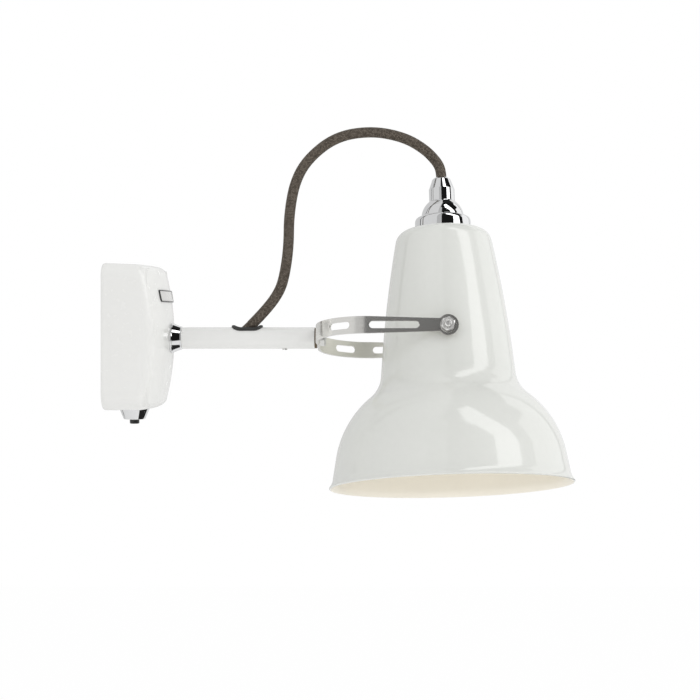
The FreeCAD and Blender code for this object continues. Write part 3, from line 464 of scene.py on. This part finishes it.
# the material's name, its colour, its worn colour, its lowest and highest roughness, and what else differs
plainFinishes = {
    # the box, the arm and the shade wear one white enamel: the box and the arm get lighter copies of it,
    # painted light, and the shade a darker one, painted shade
    "boxEnamel": ("boxEnamel", (0.88, 0.88, 0.86), (0.865, 0.865, 0.845), 0.2, 0.28, enamel),
    "armEnamel": ("armEnamel", (0.86, 0.86, 0.845), (0.845, 0.845, 0.83), 0.14, 0.22,
                  {"shader": enamelGloss, **enamel}),
    "shadeEnamel": ("shadeEnamel", (0.78, 0.79, 0.755), (0.765, 0.775, 0.74), 0.08, 0.13,
                    {"shader": enamelGloss, **enamel}),
    # the inside of the bell: a warm cream, and much lighter than the outside enamel, painted light where the
    # inside of the bell lies in shade
    "creamInsidePaintedLight": ("insideEnamel", (0.95, 0.905, 0.80), (0.935, 0.89, 0.785), 0.28, 0.36,
                   {"size": 320, "bump": (0.06, 0.0002)}),
    "chrome": ("polishedChrome", (0.86, 0.865, 0.87), (0.82, 0.825, 0.83), 0.03, 0.07,
               {"shader": metal, "size": 900}),
    "stainless": ("stainlessStrip", (0.86, 0.85, 0.82), (0.78, 0.77, 0.74), 0.15, 0.21,
                  {"shader": {"Metallic": 0.84}, "bump": (0.05, 0.0001), **brushed}),
    # the strip's faces that look into the U: a lighter, rougher copy of the same steel, a painted reflection
    # of the white shade
    "stainlessInside": ("stainlessInside", (0.93, 0.92, 0.85), (0.86, 0.85, 0.78), 0.5, 0.62,
                        {"shader": metal, "bump": (0.1, 0.0001), **brushed}),
    "fixing": ("steelFixing", (0.88, 0.875, 0.855), (0.76, 0.755, 0.735), 0.24, 0.38,
               {"shader": metal, "size": 1200}),
    # the pivot nuts, bolts and heads: a lighter, half-metallic copy of the steel fixings, painted light for
    # their bright faces
    "nutSteel": ("nutSteel", (0.95, 0.945, 0.93), (0.88, 0.875, 0.86), 0.1, 0.2,
                 {"shader": {"Metallic": 0.5}, "size": 1200}),
    "zinc": ("zincSheet", (0.60, 0.61, 0.62), (0.46, 0.47, 0.49), 0.32, 0.5,
             {"shader": metal, "size": 420, "cloud": 60}),
    "brass": ("plainBrass", (0.72, 0.53, 0.25), (0.58, 0.41, 0.17), 0.22, 0.38,
              {"shader": metal, "size": 800}),
    "rubber": ("blackRubber", (0.022, 0.022, 0.021), (0.04, 0.04, 0.038), 0.45, 0.62,
               {"size": 900, "bump": (0.15, 0.0002)}),
    "whitePlastic": ("whiteMoulding", (0.76, 0.755, 0.72), (0.72, 0.71, 0.67), 0.35, 0.5,
                     {"size": 700, "bump": (0.1, 0.0002)}),
    "blackPlastic": ("blackMoulding", (0.018, 0.018, 0.018), (0.03, 0.03, 0.03), 0.22, 0.36,
                     {"size": 700, "bump": (0.08, 0.0002)}),
    "fibre": ("brownFibre", (0.17, 0.125, 0.075), (0.10, 0.072, 0.042), 0.55, 0.75,
              {"size": 1600, "cloud": 200, "bump": (0.2, 0.0002)}),
    "brownCore": ("brownSleeve", (0.16, 0.06, 0.025), (0.13, 0.05, 0.02), 0.3, 0.42, {"size": 600}),
    "blueCore": ("blueSleeve", (0.03, 0.11, 0.38), (0.025, 0.09, 0.32), 0.3, 0.42, {"size": 600}),
    "blackCore": ("blackSleeve", (0.02, 0.02, 0.02), (0.035, 0.035, 0.035), 0.3, 0.42, {"size": 600}),
    "opal": ("opalGlass", (0.90, 0.88, 0.82), (0.87, 0.85, 0.79), 0.08, 0.14,
             {"shader": {"Coat Weight": 0.5}, "size": 300}),
}
finishes = {key: plainFinish(*values, **more) for key, (*values, more) in plainFinishes.items()}
print("finishes made")


# the flex: one braid in four lengths
flexSize = {"held": 2.94, "free": 3.07, "relief": 0.12, "strands": 16, "lay": 18.0, "around": 64,
            "step": 0.32}
finishes["braid"] = finish(
    "taupeBraid", weave,
    {"Strands": flexSize["strands"], "Lay": flexSize["lay"] * mm, "Dark Yarn": (0.085, 0.068, 0.052, 1),
     # the near-black gap colour is painted shade between the strands
     "Light Yarn": (0.21, 0.175, 0.14, 1), "Painted Gap Shade": (0.012, 0.01, 0.008, 1)},
    {"Specular IOR Level": 0.35}, (0.7, 0.0004), "UV")
flexRoutes = {
    "flexInArm": [(24.0, 0.0, 0.0), (52.0, 0.0, 0.0), (67.8, 0.0, -1.9), (74.9, 0.0, 1.3), (81.2, 0.0, 7.6)],
    "flexLower": [(81.2, 0.0, 7.6), (89.6, 0.0, 16.0), (98.0, 1.0, 27.5), (101.0, 2.0, 38.5),
                  (102.0, 2.75, 46.5)],
    "flexUpper": [(102.0, 2.75, 46.5), (103.0, 3.5, 54.5), (103.0, 6.0, 73.5), (106.5, 9.0, 94.0),
                  (115.0, 11.5, 108.0), (131.0, 14.5, 120.5), (152.0, 17.0, 124.0), (171.0, 19.0, 120.5),
                  (183.2, 20.0, 113.6), (190.2, 20.4, 106.6)],
}
gripTop = {"height": 97.4, "exit": 5.6, "foot": 54.2}


def smoothLine(route):
    # points of the route's own NURBS spline, evenly spaced
    data = bpy.data.curves.new("route", "CURVE")
    data.dimensions = "3D"
    spline = data.splines.new("NURBS")
    spline.points.add(len(route) - 1)
    for point, place in zip(spline.points, route):
        point.co = (*[value * mm for value in place], 1)
    spline.order_u, spline.use_endpoint_u, spline.resolution_u = 3, True, 48
    holder = bpy.data.objects.new("route", data)
    scene.collection.objects.link(holder)
    polyline = bpy.data.meshes.new_from_object(holder.evaluated_get(bpy.context.evaluated_depsgraph_get()))
    raw = [vertex.co.copy() for vertex in polyline.vertices]
    bpy.data.objects.remove(holder)
    lengths = [0.0]
    for first, second in zip(raw, raw[1:]):
        lengths.append(lengths[-1] + (second - first).length)
    count, line, row = max(2, round(lengths[-1] / (flexSize["step"] * mm))), [], 0
    for step in range(count + 1):
        target = lengths[-1] * step / count
        while row < len(raw) - 2 and lengths[row + 1] < target:
            row += 1
        share = (target - lengths[row]) / max(lengths[row + 1] - lengths[row], 1e-12)
        line.append(raw[row].lerp(raw[row + 1], min(max(share, 0), 1)))
    return line, lengths[-1]


def braidHeight(turn, length):
    # 0 in the gaps and 1 on the crown of the strand on top
    strands, lay = flexSize["strands"], flexSize["lay"] * mm
    first, second = strands * (turn + length / lay), strands * (turn - length / lay)
    across = [1 - (2 * (value % 1) - 1) ** 2 for value in (first, second)]
    top, under = across if (floor(first) + floor(second)) % 2 == 0 else across[::-1]
    return sqrt(max(top, 0)) * (0.55 + 0.45 * under)


def braidedTube(name, route, startLength, radius):
    line, total = smoothLine(route)
    around = flexSize["around"]
    side = (line[1] - line[0]).orthogonal().normalized()
    points, turns = [], []
    for row, centre in enumerate(line):
        ahead = (line[min(row + 1, len(line) - 1)] - line[max(row - 1, 0)]).normalized()
        side = (side - ahead * side.dot(ahead)).normalized()
        other = ahead.cross(side)
        length = startLength + total * row / (len(line) - 1)
        for step in range(around):
            turn = step / around
            angle = 2 * pi * turn
            reach = (radius + (braidHeight(turn, length) - 0.5) * flexSize["relief"]) * mm
            points.append(centre + (side * cos(angle) + other * sin(angle)) * reach)
            turns.append((turn, length))
    faces = ringFaces(len(line), around)
    last = (len(line) - 1) * around
    faces += [tuple(range(around))[::-1], tuple(last + step for step in range(around))]
    tube = meshObject(name, points, faces)
    layer = tube.data.uv_layers.new(name="UVMap")
    for polygon in tube.data.polygons:
        for corner in polygon.loop_indices:
            turn, length = turns[tube.data.loops[corner].vertex_index]
            if turn == 0 and len(polygon.vertices) == 4 and polygon.index % around == around - 1:
                turn = 1.0
            layer.data[corner].uv = (turn, length)
    tube.data.polygons.foreach_set("use_smooth", [True] * len(tube.data.polygons))
    tube.data.materials.append(finishes["braid"])
    return tube, line, total


def addFlex():
    top = inShade @ Vector((0, 0, gripTop["height"] * mm))
    above = inShade @ Vector((0, 0, (gripTop["height"] + gripTop["exit"]) * mm))
    foot = inShade @ Vector((0, 0, gripTop["foot"] * mm))
    flexRoutes["flexUpper"] += [tuple(above / mm), tuple(top / mm)]
    flexRoutes["flexInGrip"] = [tuple(top / mm), tuple((top + foot) / 2 / mm), tuple(foot / mm)]
    done = 0.0
    # each length with the bodies that hold its ends and, where it crosses a hinge, the stretch that bends
    lengths = (
        ("flexInArm", "flex_in_arm", ("wall_base",), None),
        ("flexLower", "flex_lower", ("wall_base", "fork_body"), ((0.086, 0, 0.012), (0.101, 0.002, 0.044))),
        ("flexUpper", "flex_upper", ("fork_body", "shade_body"),
         ((0.104, 0.004, 0.056), (0.192, 0.0195, 0.103))),
        ("flexInGrip", "flex_in_grip", ("shade_body",), None))
    for name, node, bodies, bend in lengths:
        tube, line, total = braidedTube(name, flexRoutes[name], done, flexSize["free" if bend else "held"])
        done += total
        if bend:
            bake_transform(tube)
        else:
            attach(tube, bodies[0])
        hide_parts(node)
        print(name, round(total, 4))


# shade
shadeForm = {
    "topRadius": 20.8, "top": 64.5, "shoulder": 8.0, "slope": 10.8, "waistTop": (39.5, -22.0),
    "waistFoot": (46.5, -35.2), "bellFoot": (66.9, -69.6), "skirtFoot": -82.4, "lip": (71.2, -86.6),
    "wall": 1.3, "hole": 5.05}


def arcLine(start, heading, end, count):
    # points on the arc that leaves start along heading and ends at end, with the heading at each
    chord = end - start
    turn = heading.angle_signed(chord)
    if abs(turn) < 1e-5:
        return [(start.lerp(end, step / count), heading) for step in range(1, count + 1)]
    normal = Vector((-heading.y, heading.x)) if turn < 0 else Vector((heading.y, -heading.x))
    radius = chord.length / (2 * abs(sin(turn)))
    centre = start + normal * radius
    line = []
    for step in range(1, count + 1):
        spin = Matrix.Rotation(-2 * turn * step / count, 2)
        line.append((centre + spin @ (start - centre), (spin @ heading).normalized()))
    return line


def shadeLine():
    form = shadeForm
    slope = radians(form["slope"])
    shoulder = Vector((form["topRadius"] + form["shoulder"] * cos(slope),
                       form["top"] - form["shoulder"] * (1 - sin(slope))))
    line = [(Vector((form[key], form["top"])), Vector((1, 0))) for key in ("hole", "topRadius")]
    line += arcLine(*line[-1], shoulder, 14)
    for end, count in (("waistTop", 16), ("waistFoot", 12), ("bellFoot", 30)):
        line += arcLine(*line[-1], Vector(form[end]), count)
    here, heading = line[-1]
    skirt = here + heading * ((form["skirtFoot"] - here.y) / heading.y)
    line += arcLine(here, heading, skirt, 6)
    line += arcLine(skirt, heading, Vector(form["lip"]), 8)
    return line


def addShade():
    line = shadeLine()
    wall = shadeForm["wall"]
    outside = [point for point, heading in line]
    inside = [point + Vector((heading.y, -heading.x)) * wall for point, heading in line]
    heading = line[-1][1]
    middle, rim, steps, roundness = (outside[-1] + inside[-1]) / 2, [], 8, 0.9
    for step in range(1, steps):
        # the rim is rolled over the wall's thickness
        angle = pi * step / steps
        rim.append(middle + (outside[-1] - middle) * cos(angle)
                   + heading * (wall / 2) * sin(angle) * roundness)
    made = lathed("shadeShell", outside + rim + inside[::-1], 256)
    moved(made, inShade)
    # the outside takes the darker copy of the white enamel, painted shade
    made.data.materials.append(finishes["shadeEnamel"])
    made.data.materials.append(finishes["creamInsidePaintedLight"])
    toShade = inShade.inverted()
    # faces that look inwards take the lighter cream copy, painted light inside the bell
    for polygon in made.data.polygons:
        normal = toShade.to_3x3() @ polygon.normal
        centre = toShade @ polygon.center
        outward = Vector((centre.x, centre.y, 0)).dot(Vector((normal.x, normal.y, 0)))
        inward = outward < 0 or (normal.z < -0.8 and centre.z > 0.03)
        polygon.material_index = 1 if inward else 0
    fitted(made, "shade_body", None, ("shade",))


# chrome fittings on the shade, in mm above the shade's pivot
fittings = {
    "collarRing": [(10.9, 72.9), (16.7, 72.9, 3.5), (16.7, 64.5, 0.4), (15.2, 64.5, 0.2), (15.2, 71.4, 0.5),
                   (10.9, 71.4)],
    "gripCone": [(5.05, 82.3), (7.35, 82.3, 0.3), (7.7, 82.9, 0.5), (7.7, 90.3, 0.9), (5.5, 96.5, 0.5),
                 (4.5, 97.4, 0.3), (3.16, 97.4, 0.15), (3.16, 88.3), (5.05, 88.3)],
}


domeForm = {"radius": 12.37, "offset": 0.33, "low": 72.9, "height": 9.4, "spigot": 10.85, "hole": 5.05,
            "wall": 1.5}


def domeLine():
    # a round bowl from the ring up to the grip's seat, hollow underneath
    form, steps = domeForm, 24
    low, high, foot, radius = form["low"], form["low"] + form["height"], form["spigot"], form["radius"]
    line = [(foot, shadeForm["top"]), (foot, low)]
    for step in range(steps + 1):
        angle = asin(form["height"] / radius) * step / steps
        line.append((form["offset"] + radius * cos(angle), low + radius * sin(angle)))
    inner, under = foot - form["wall"], high - form["wall"]
    line += [(form["hole"], high), (form["hole"], under), (line[-1][0] - form["wall"], under),
             (inner, low), (inner, shadeForm["top"])]
    return [Vector(point) for point in line]


def addFittings():
    for name, node in (("collarRing", "shade_collar"), ("gripCone", "cord_grip")):
        made = moved(lathed(name, softened(fittings[name])), inShade)
        fitted(made, "shade_body", finishes["chrome"], (node,), 50)
    made = moved(lathed("holderDome", domeLine()), inShade)
    fitted(made, "shade_body", finishes["chrome"], ("holder_dome",), 40)


# fork: a slotted strip, drawn flat and bent into a U
forkForm = {"face": 119.9, "inside": 40.6, "thick": 1.5, "height": 9.8, "neck": 7.5, "bend": 30.0, "ear": 6.0,
            "slot": 2.1, "slots": ((16.5, 44.8), (55.9, 69.6)), "taperFrom": 44.8, "edge": 0.22, "hole": 2.2}


def forkSizes():
    # lengths of a leg and a bend, and of the whole strip, along its middle line
    form = forkForm
    middle = form["thick"] / 2
    leg = pose["reach"] - form["face"] - form["bend"]
    arc = (form["bend"] - middle) * pi / 2
    base = 2 * (form["inside"] + form["thick"] - form["bend"])
    return leg, arc, 2 * (leg + arc) + base


def bentPlace(length):
    # a point of the strip's middle line in the XY plane
    form = forkForm
    leg, arc, total = forkSizes()
    half, radius = form["inside"] + form["thick"] / 2, form["bend"] - form["thick"] / 2
    sign = -1 if length <= total / 2 else 1
    along = min(length, total - length)
    centre = Vector((form["face"] + form["bend"], half - radius))
    if along <= leg:
        place = Vector((pose["reach"] - along, half))
    elif along <= leg + arc:
        angle = (along - leg) / radius
        place = centre + Vector((-sin(angle), cos(angle))) * radius
    else:
        place = Vector((form["face"] + form["thick"] / 2, half - radius - (along - leg - arc)))
    return Vector((place.x, place.y * sign))


def stripHalf(along):
    # half the strip's height, and half the slot's, at a length from an ear's centre
    form = forkForm
    tall, neck, ear, slot = form["height"] / 2, form["neck"] / 2, form["ear"], form["slot"]
    share = min(max((form["taperFrom"] - along) / (form["taperFrom"] - ear), 0), 1)
    outer = tall + (neck - tall) * share
    if along < ear:
        outer = max(sqrt(max(ear**2 - along**2, 0)), neck if along > 0 else 0)
    opening = sqrt(form["hole"] ** 2 - along**2) if abs(along) < form["hole"] else 0.0
    for start, end in form["slots"]:
        if start < along < end:
            near = min(along - start, end - along)
            opening = slot if near >= slot else sqrt(slot**2 - (slot - near) ** 2)
    return outer, opening


def facesInside(polygon):
    # whether a face of the strip looks into the U, where it takes the lighter steel painted as the shade's
    # reflection
    form = forkForm
    place, normal = polygon.center / mm, polygon.normal
    if abs(normal.z) > 0.5:
        return False
    x, y = form["face"] + form["bend"], copysign(form["inside"] + form["thick"] - form["bend"], place.y)
    inner = Vector((max(place.x, x), y if abs(place.y) > abs(y) else place.y))
    return (inner - place.xy).dot(normal.xy) > 0


def addFork():
    form = forkForm
    total = forkSizes()[2]
    stations = {-form["ear"] * cos(pi * step / 24) for step in range(25)}
    stations |= {-form["hole"] * cos(pi * step / 16) for step in range(17)} | {total / 2}
    stations |= {float(step) for step in range(6, int(total / 2))}
    for start, end in form["slots"]:
        for step in range(13):
            inset = form["slot"] * (1 - cos(pi / 2 * step / 12))
            stations |= {start + inset, end - inset}
    stations = sorted(stations)
    merged = [stations[0]]
    for value in stations[1:]:
        if value - merged[-1] > 0.02:
            merged.append(value)
    lengths = merged + [total - value for value in reversed(merged[:-1])]
    across, points, faces = 4, [], []
    for side in (1, -1):
        first = len(points)
        for length in lengths:
            outer, opening = stripHalf(min(length, total - length))
            place = bentPlace(min(max(length, 0), total))
            if not 0 <= length <= total:
                # past an ear's centre the strip runs straight on
                place += Vector((-length if length < 0 else length - total, 0))
            for step in range(across + 1):
                height = side * (opening + (outer - opening) * step / across)
                points.append((place.x * mm, place.y * mm, height * mm))
        for row in range(len(lengths) - 1):
            for step in range(across):
                low = first + row * (across + 1) + step
                quad = (low, low + across + 1, low + across + 2, low + 1)
                faces.append(quad if side > 0 else quad[::-1])
    made = facedOutwards(meshObject("forkStrip", points, faces), 2e-6, 1e-6)
    thick = made.modifiers.new("thick", "SOLIDIFY")
    thick.thickness, thick.offset, thick.use_even_offset = form["thick"] * mm, 0, True
    edge = made.modifiers.new("edge", "BEVEL")
    edge.width, edge.segments = form["edge"] * mm, 3
    edge.limit_method, edge.angle_limit = "ANGLE", radians(40)
    mesh = bpy.data.meshes.new_from_object(made.evaluated_get(bpy.context.evaluated_depsgraph_get()))
    made.modifiers.clear()
    made.data = mesh
    made.data.materials.append(finishes["stainless"])
    made.data.materials.append(finishes["stainlessInside"])
    # faces that look into the U take the lighter steel, a painted reflection of the shade
    for polygon in made.data.polygons:
        polygon.material_index = 1 if facesInside(polygon) else 0
    moved(made, inFork)
    fitted(made, "fork_body", None, ("fork",), 60)


# wall box and switch
switchForm = {
    "place": (12.4, 0, -40.8),
    "switchBezel": [(5.05, 0), (8.85, 0, 0.2), (8.85, -0.9, 0.3), (6.5, -6.4, 0.5), (6.1, -7.0, 0.3),
                    (3.1, -7.0, 0.3), (3.1, -6.0), (5.05, -6.0)],
    "buttonCap": [(0, -9.7), (2.8, -9.7, 0.7), (2.8, -2.3), (0, -2.3)],
}
collarForm = {"hole": 5.15, "foot": 8.95, "rim": 0.9, "neck": 6.75, "band": 0.7}


def addBase():
    place = Matrix.Translation([value * mm for value in switchForm["place"]])
    pieces = (("switchBezel", "switch_bezel", "chrome", "wall_base", "chrome"),
              ("buttonCap", "switch_button", "black_plastic", "button", "blackPlastic"))
    for name, node, slot, body, material in pieces:
        made = moved(lathed(name, softened(switchForm[name])), place)
        fitted(made, body, finishes[material], (node,), 50)
    low, high = (corner[0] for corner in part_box("arm_collar"))
    form, end = collarForm, (high - low) / mm
    line = [(form["hole"], 0), (form["foot"], 0, 0.15), (form["foot"], form["rim"], 0.35),
            (form["foot"] - 0.35, form["rim"] + 0.4, 0.2), (form["neck"], end - form["band"], 0.3),
            (form["neck"], end, 0.25), (form["hole"], end)]
    made = moved(lathed("armCone", softened(line)), alongArm, Matrix.Translation((low, 0, 0)))
    fitted(made, "wall_base", finishes["chrome"], ("arm_collar",), 50)


boxForm = {"side": 84.0, "rise": 1.2, "depth": 34.3, "crown": 160.0, "corner": 8.5, "edge": 6.0, "wall": 2.0,
           "rim": (1.1, 2.4), "topDraft": 0.045, "lowFlat": 0.3, "cornerSteps": 14, "sideSteps": 18}


def crownHeight(across, up):
    # the front's height over the wall, across and up from the box's own middle
    return boxForm["depth"] - boxForm["crown"] + sqrt(boxForm["crown"] ** 2 - across**2 - up**2)


def boxOutline():
    # points of the rounded square with the way outwards at each; the two lower corners are a little flatter
    form, line = boxForm, []
    radius, middle = form["corner"], form["side"] / 2 - form["corner"]
    for signY, signZ, start in ((1, 1, 0), (-1, 1, 90), (-1, -1, 180), (1, -1, 270)):
        centre = Vector((signY * middle, signZ * middle))
        first, last = (Vector((cos(angle), sin(angle)))
                       for angle in (radians(start), radians(start + 90)))
        for step in range(form["cornerSteps"] + 1):
            angle = radians(start + 90 * step / form["cornerSteps"])
            outward = Vector((cos(angle), sin(angle)))
            share = 0.5 + 0.5 * tan(angle - radians(start + 45))
            flat = form["lowFlat"] if signZ < 0 else 0
            line.append((centre + outward.lerp(first.lerp(last, share), flat) * radius, outward))
        corner, outward = line[-1]
        turned, length = Vector((-outward.y, outward.x)), 2 * middle
        for step in range(1, form["sideSteps"]):
            line.append((corner + turned * length * step / form["sideSteps"], outward))
    return line


def boxRings(outline):
    # rows of points from inside the wall, round the back rim, up the side and over the front's edge
    form, rows = boxForm, []
    rimIn, rimUp = form["rim"]
    radius = form["edge"]
    for inset, height in ((form["wall"], 26.0), (form["wall"], 0.3), (form["wall"], 0.0)):
        rows.append([(point - outward * inset, height) for point, outward in outline])
    for step in range(7):
        angle = pi / 2 * step / 6
        inset, height = rimIn * (1 - sin(angle)), rimUp * (1 - cos(angle))
        rows.append([(point - outward * inset, height) for point, outward in outline])
    arcs = []
    for point, outward in outline:
        edge = crownHeight(*point)
        slope = point.dot(outward) / sqrt(form["crown"] ** 2 - point.length_squared)
        middle = edge + slope * radius - radius * sqrt(1 + slope**2)
        arcs.append((middle, pi / 2 + atan(slope)))
    for step in range(1, 4):
        rows.append([(point, rimUp + (middle - rimUp) * step / 4)
                     for (point, outward), (middle, last) in zip(outline, arcs)])
    for step in range(13):
        row = []
        for (point, outward), (middle, last) in zip(outline, arcs):
            angle = pi + (last - pi) * step / 12
            row.append((point - outward * radius * (1 + cos(angle)), middle + radius * sin(angle)))
        rows.append(row)
    # over the crowned front to near its middle
    edge = [point for point, height in rows[-1]]
    for share in (0.97, 0.93, 0.88, 0.8, 0.7, 0.6, 0.5, 0.4, 0.3, 0.2, 0.1):
        rows.append([(point * share, crownHeight(*(point * share))) for point in edge])
    return rows


def onBox(point, height):
    # the upper side falls a little towards the front
    fall = boxForm["topDraft"] * height * max(point.y, 0) / (boxForm["side"] / 2)
    return Vector((height, point.x, point.y + boxForm["rise"] - fall)) * mm


def addBox():
    outline = boxOutline()
    rows, count = boxRings(outline), len(outline)
    points = [onBox(*place) for row in rows for place in row] + [onBox(Vector((0, 0)), boxForm["depth"])]
    faces = ringFaces(len(rows), count)
    last = (len(rows) - 1) * count
    faces += [(last + step, last + (step + 1) % count, len(points) - 1) for step in range(count)]
    made = facedOutwards(meshObject("boxShell", points, faces))
    # the box takes the lighter copy of the white enamel, painted light
    fitted(made, "wall_base", finishes["boxEnamel"], ("base_housing",))


# the plate's rings are (inset, height in plate thicknesses), from under the crown over the raised border
badge = {"width": 47.6, "height": 7.1, "slant": 1.3, "middle": (0.0, 25.4), "thick": 0.8, "round": 1.7,
         "steps": 16, "darkBands": 4,
         "rings": ((0.0, -0.3), (0.0, 0.85), (0.1, 1.0), (0.6, 1.0), (0.7, 0.85), (0.75, 0.6), (1.1, 0.55))}


def badgeOutline(inset):
    # a plate with round corners, a little wider at the top; as many points above as below
    half, tall = badge["width"] / 2 - inset, badge["height"] / 2 - inset
    radius, steps, line = max(badge["round"] - inset, 0.3), badge["steps"], []
    for signY, signZ, start in ((1, 1, 0), (-1, 1, 90), (-1, -1, 180), (1, -1, 270)):
        for step in range(7):
            angle = radians(start + 15 * step)
            line.append((signY * (half - radius) + radius * cos(angle),
                         signZ * (tall - radius) + radius * sin(angle)))
        if signY == signZ:
            # along the upper or the lower side, so that it follows the crown
            across, up = line[-1]
            length = 2 * (half - radius)
            line += [(across - signZ * length * step / steps, up) for step in range(1, steps)]
    return [(across * (1 + badge["slant"] * up / (badge["height"] * half)), up) for across, up in line]


def addBadge():
    # a dark raised border round a bare satin field
    rings, points, (left, level) = badge["rings"], [], badge["middle"]
    for inset, lift in rings:
        for across, up in badgeOutline(inset):
            place = Vector((left + across, level + up - boxForm["rise"]))
            raised = Vector((lift * badge["thick"] * mm, 0, 0))
            points.append(onBox(place, crownHeight(*place)) + raised)
    count = len(badgeOutline(0))
    faces = ringFaces(len(rings), count)
    top, strips = (len(rings) - 1) * count, count // 2 - 1
    for start in (0, top):
        # each end is filled by strips from the upper side down to the lower one
        for step in range(strips):
            last = start + count - 1 - step
            faces.append((start + step, start + step + 1, last - 1, last))
    made = facedOutwards(meshObject("barePlate", points, faces))
    made.data.materials.append(finishes["blackPlastic"])
    made.data.materials.append(finishes["fixing"])
    for polygon in made.data.polygons:
        dark = polygon.index < badge["darkBands"] * count or top <= polygon.index < top + strips
        polygon.material_index = 0 if dark else 1
    fitted(made, "wall_base", None)


# arm: the rubber oval where the flex comes out, its section as (inset, height above the arm)
grommetForm = {
    "middle": 78.9, "armRadius": 6.35, "outer": (18.4, 10.6), "around": 96,
    "section": [(0, 0), (0, 0.7), (0.35, 1.15), (0.9, 1.3), (1.6, 1.25), (2.2, 0.9), (2.35, 0.2),
                (2.35, -1.6)]}


def addGrommet():
    form, points = grommetForm, []
    length, width = form["outer"]
    for step in range(form["around"]):
        angle = 2 * pi * step / form["around"]
        flat = (length - width) / 2
        for inset, lift in form["section"]:
            radius, reach = width / 2 - inset, form["armRadius"] + lift
            along = radius * cos(angle) + copysign(flat, cos(angle))
            wrap = radius * sin(angle) / form["armRadius"]
            points.append(((form["middle"] + along) * mm, reach * sin(wrap) * mm,
                           reach * cos(wrap) * mm))
    faces = turnedFaces(form["around"], len(form["section"]), closed=False)
    made = facedOutwards(meshObject("cordGrommet", points, faces))
    fitted(made, "wall_base", finishes["rubber"], ("cord_grommet",))


# pivots: nut, washer and bolt at each ear, in mm out from the lamp's middle
pivotForm = {
    "washer": [(2.05, 42.13), (4.5, 42.13, 0.1), (4.5, 42.93, 0.12), (2.05, 42.93)],
    "bolt": {"radius": 2.0, "start": 42.1, "end": 48.3, "pitch": 0.7, "depth": 0.22, "socket": 1.15},
    "nut": {"flats": 7.0, "thick": 3.2, "seat": 42.94, "turn": 12.0, "hole": 2.04, "sink": 2.75, "edge": 0.08,
            "around": 96},
    "head": [(0, 30.8), (3.8, 30.8, 1.0), (3.8, 33.2, 0.2), (2.0, 33.2), (2.0, 42.1), (0, 42.1)],
}


def threadLine(form):
    crest, root, end, socket = form["radius"], form["radius"] - form["depth"], form["end"], form["socket"]
    height = form["start"]
    line = [(0, height)]
    while height + form["pitch"] < end - 0.4:
        line += [(crest, height + 0.1), (crest, height + 0.25), (root, height + 0.45), (root, height + 0.55)]
        height += form["pitch"]
    line += [(crest - 0.05, end - 0.5), (crest - 0.45, end), (socket, end), (socket - 0.15, end - 0.9),
             (0, end - 1.0)]
    return [Vector(point) for point in line]


def hexNut(name, form):
    # a six-sided nut with chamfered corners and a countersunk hole, section by section round its axis
    flat, low, high = form["flats"] / 2, form["seat"], form["seat"] + form["thick"]
    hole, sink, sections = form["hole"], form["sink"], []
    for step in range(form["around"]):
        angle = 2 * pi * step / form["around"]
        reach = flat / cos((angle + pi / 6) % (pi / 3) - pi / 6)
        drop = (reach - flat) * 0.6 + form["edge"]
        sections.append(((hole, low), (flat - 0.1, low), (reach, low + drop), (reach, high - drop),
                         (flat - 0.1, high), (sink, high), (sink - 0.12, high - 0.1), (hole, high - 0.8)))
    return turnedPiece(name, sections, radians(form["turn"]))


def addPivots():
    form, towardFar = pivotForm, inShade @ Matrix.Rotation(radians(-90), 4, "X")
    # the bolts, heads and nuts take the lighter copy of the steel, painted light
    pieces = (
        ("pivotWasher", lathed("pivotWasherFar", softened(form["washer"])), ["pivot_washers"], "stainless"),
        ("pivotBolt", lathed("pivotBoltFar", threadLine(form["bolt"])), ["pivot_bolts"], "nutSteel"),
        ("pivotHead", lathed("pivotHeadFar", softened(form["head"])), [], "nutSteel"),
        ("pivotNut", hexNut("pivotNutFar", form["nut"]), ["pivot_nuts"], "nutSteel"),
    )
    for name, made, nodes, look in pieces:
        moved(made, towardFar)
        for one in (made, mirroredCopy(made, name + "Near")):
            fitted(one, "shade_body", finishes[look], nodes, 30)


# the bulb's cap, in mm above the shade's pivot; the globe and the holder stay as they come
capForm = {"radius": 6.95, "pitch": 2.9, "depth": 0.42, "low": 28.2, "threadLow": 28.6, "threadHigh": 44.5,
           "top": [(6.65, 45.2), (3.9, 47.2), (2.4, 49.6), (0, 49.6)]}


def addBulb():
    radius, height = capForm["radius"], capForm["threadLow"]
    line = [(0, capForm["low"]), (radius, capForm["low"])]
    while height < capForm["threadHigh"]:
        wave = 0.5 - 0.5 * cos(2 * pi * height / capForm["pitch"])
        line.append((radius - capForm["depth"] * wave, height))
        height += capForm["pitch"] / 12
    line += capForm["top"]
    made = moved(lathed("bulbCap", [Vector(point) for point in line], 96), inShade)
    fitted(made, "shade_body", finishes["zinc"], ("bulb_cap",), 50)


# finishes of the CAD nodes that stay as they are
keptNodes = {
    # the arm takes the lighter copy of the white enamel, painted light
    "armEnamel": ["arm_tube"],
    "fixing": ["housing_set_screws", "plug_screw", "fork_bolt", "fork_spring_washer"],
    "zinc": ["wall_bracket", "terminal_fixing_screw", "arm_stud", "arm_washer", "arm_nut", "arm_end_plug",
             "holder_nipple"],
    "whitePlastic": ["terminal_block", "lampholder"],
    "brass": ["terminal_sleeves", "terminal_clamp_screws", "holder_sleeve", "holder_contact"],
    "blackPlastic": ["switch_body"],
    "brownCore": ["live_core"],
    "blueCore": ["neutral_core"],
    "blackCore": ["switch_lead"],
    "fibre": ["friction_washer", "ear_saddles", "inner_saddles"],
    "opal": ["bulb_globe"],
}


def dressNodes():
    for finishName, names in keptNodes.items():
        for name in names:
            materials = cadNodes[name].data.materials
            materials.clear()
            materials.append(finishes[finishName])


addCamera()
addStudio()
print("studio made")
addFlex()
print("flex made")
addShade()
addFittings()
addFork()
addPivots()
print("shade and fork made")
addBox()
addBadge()
addBase()
addGrommet()
addBulb()
dressNodes()
print("base, arm and bulb made")
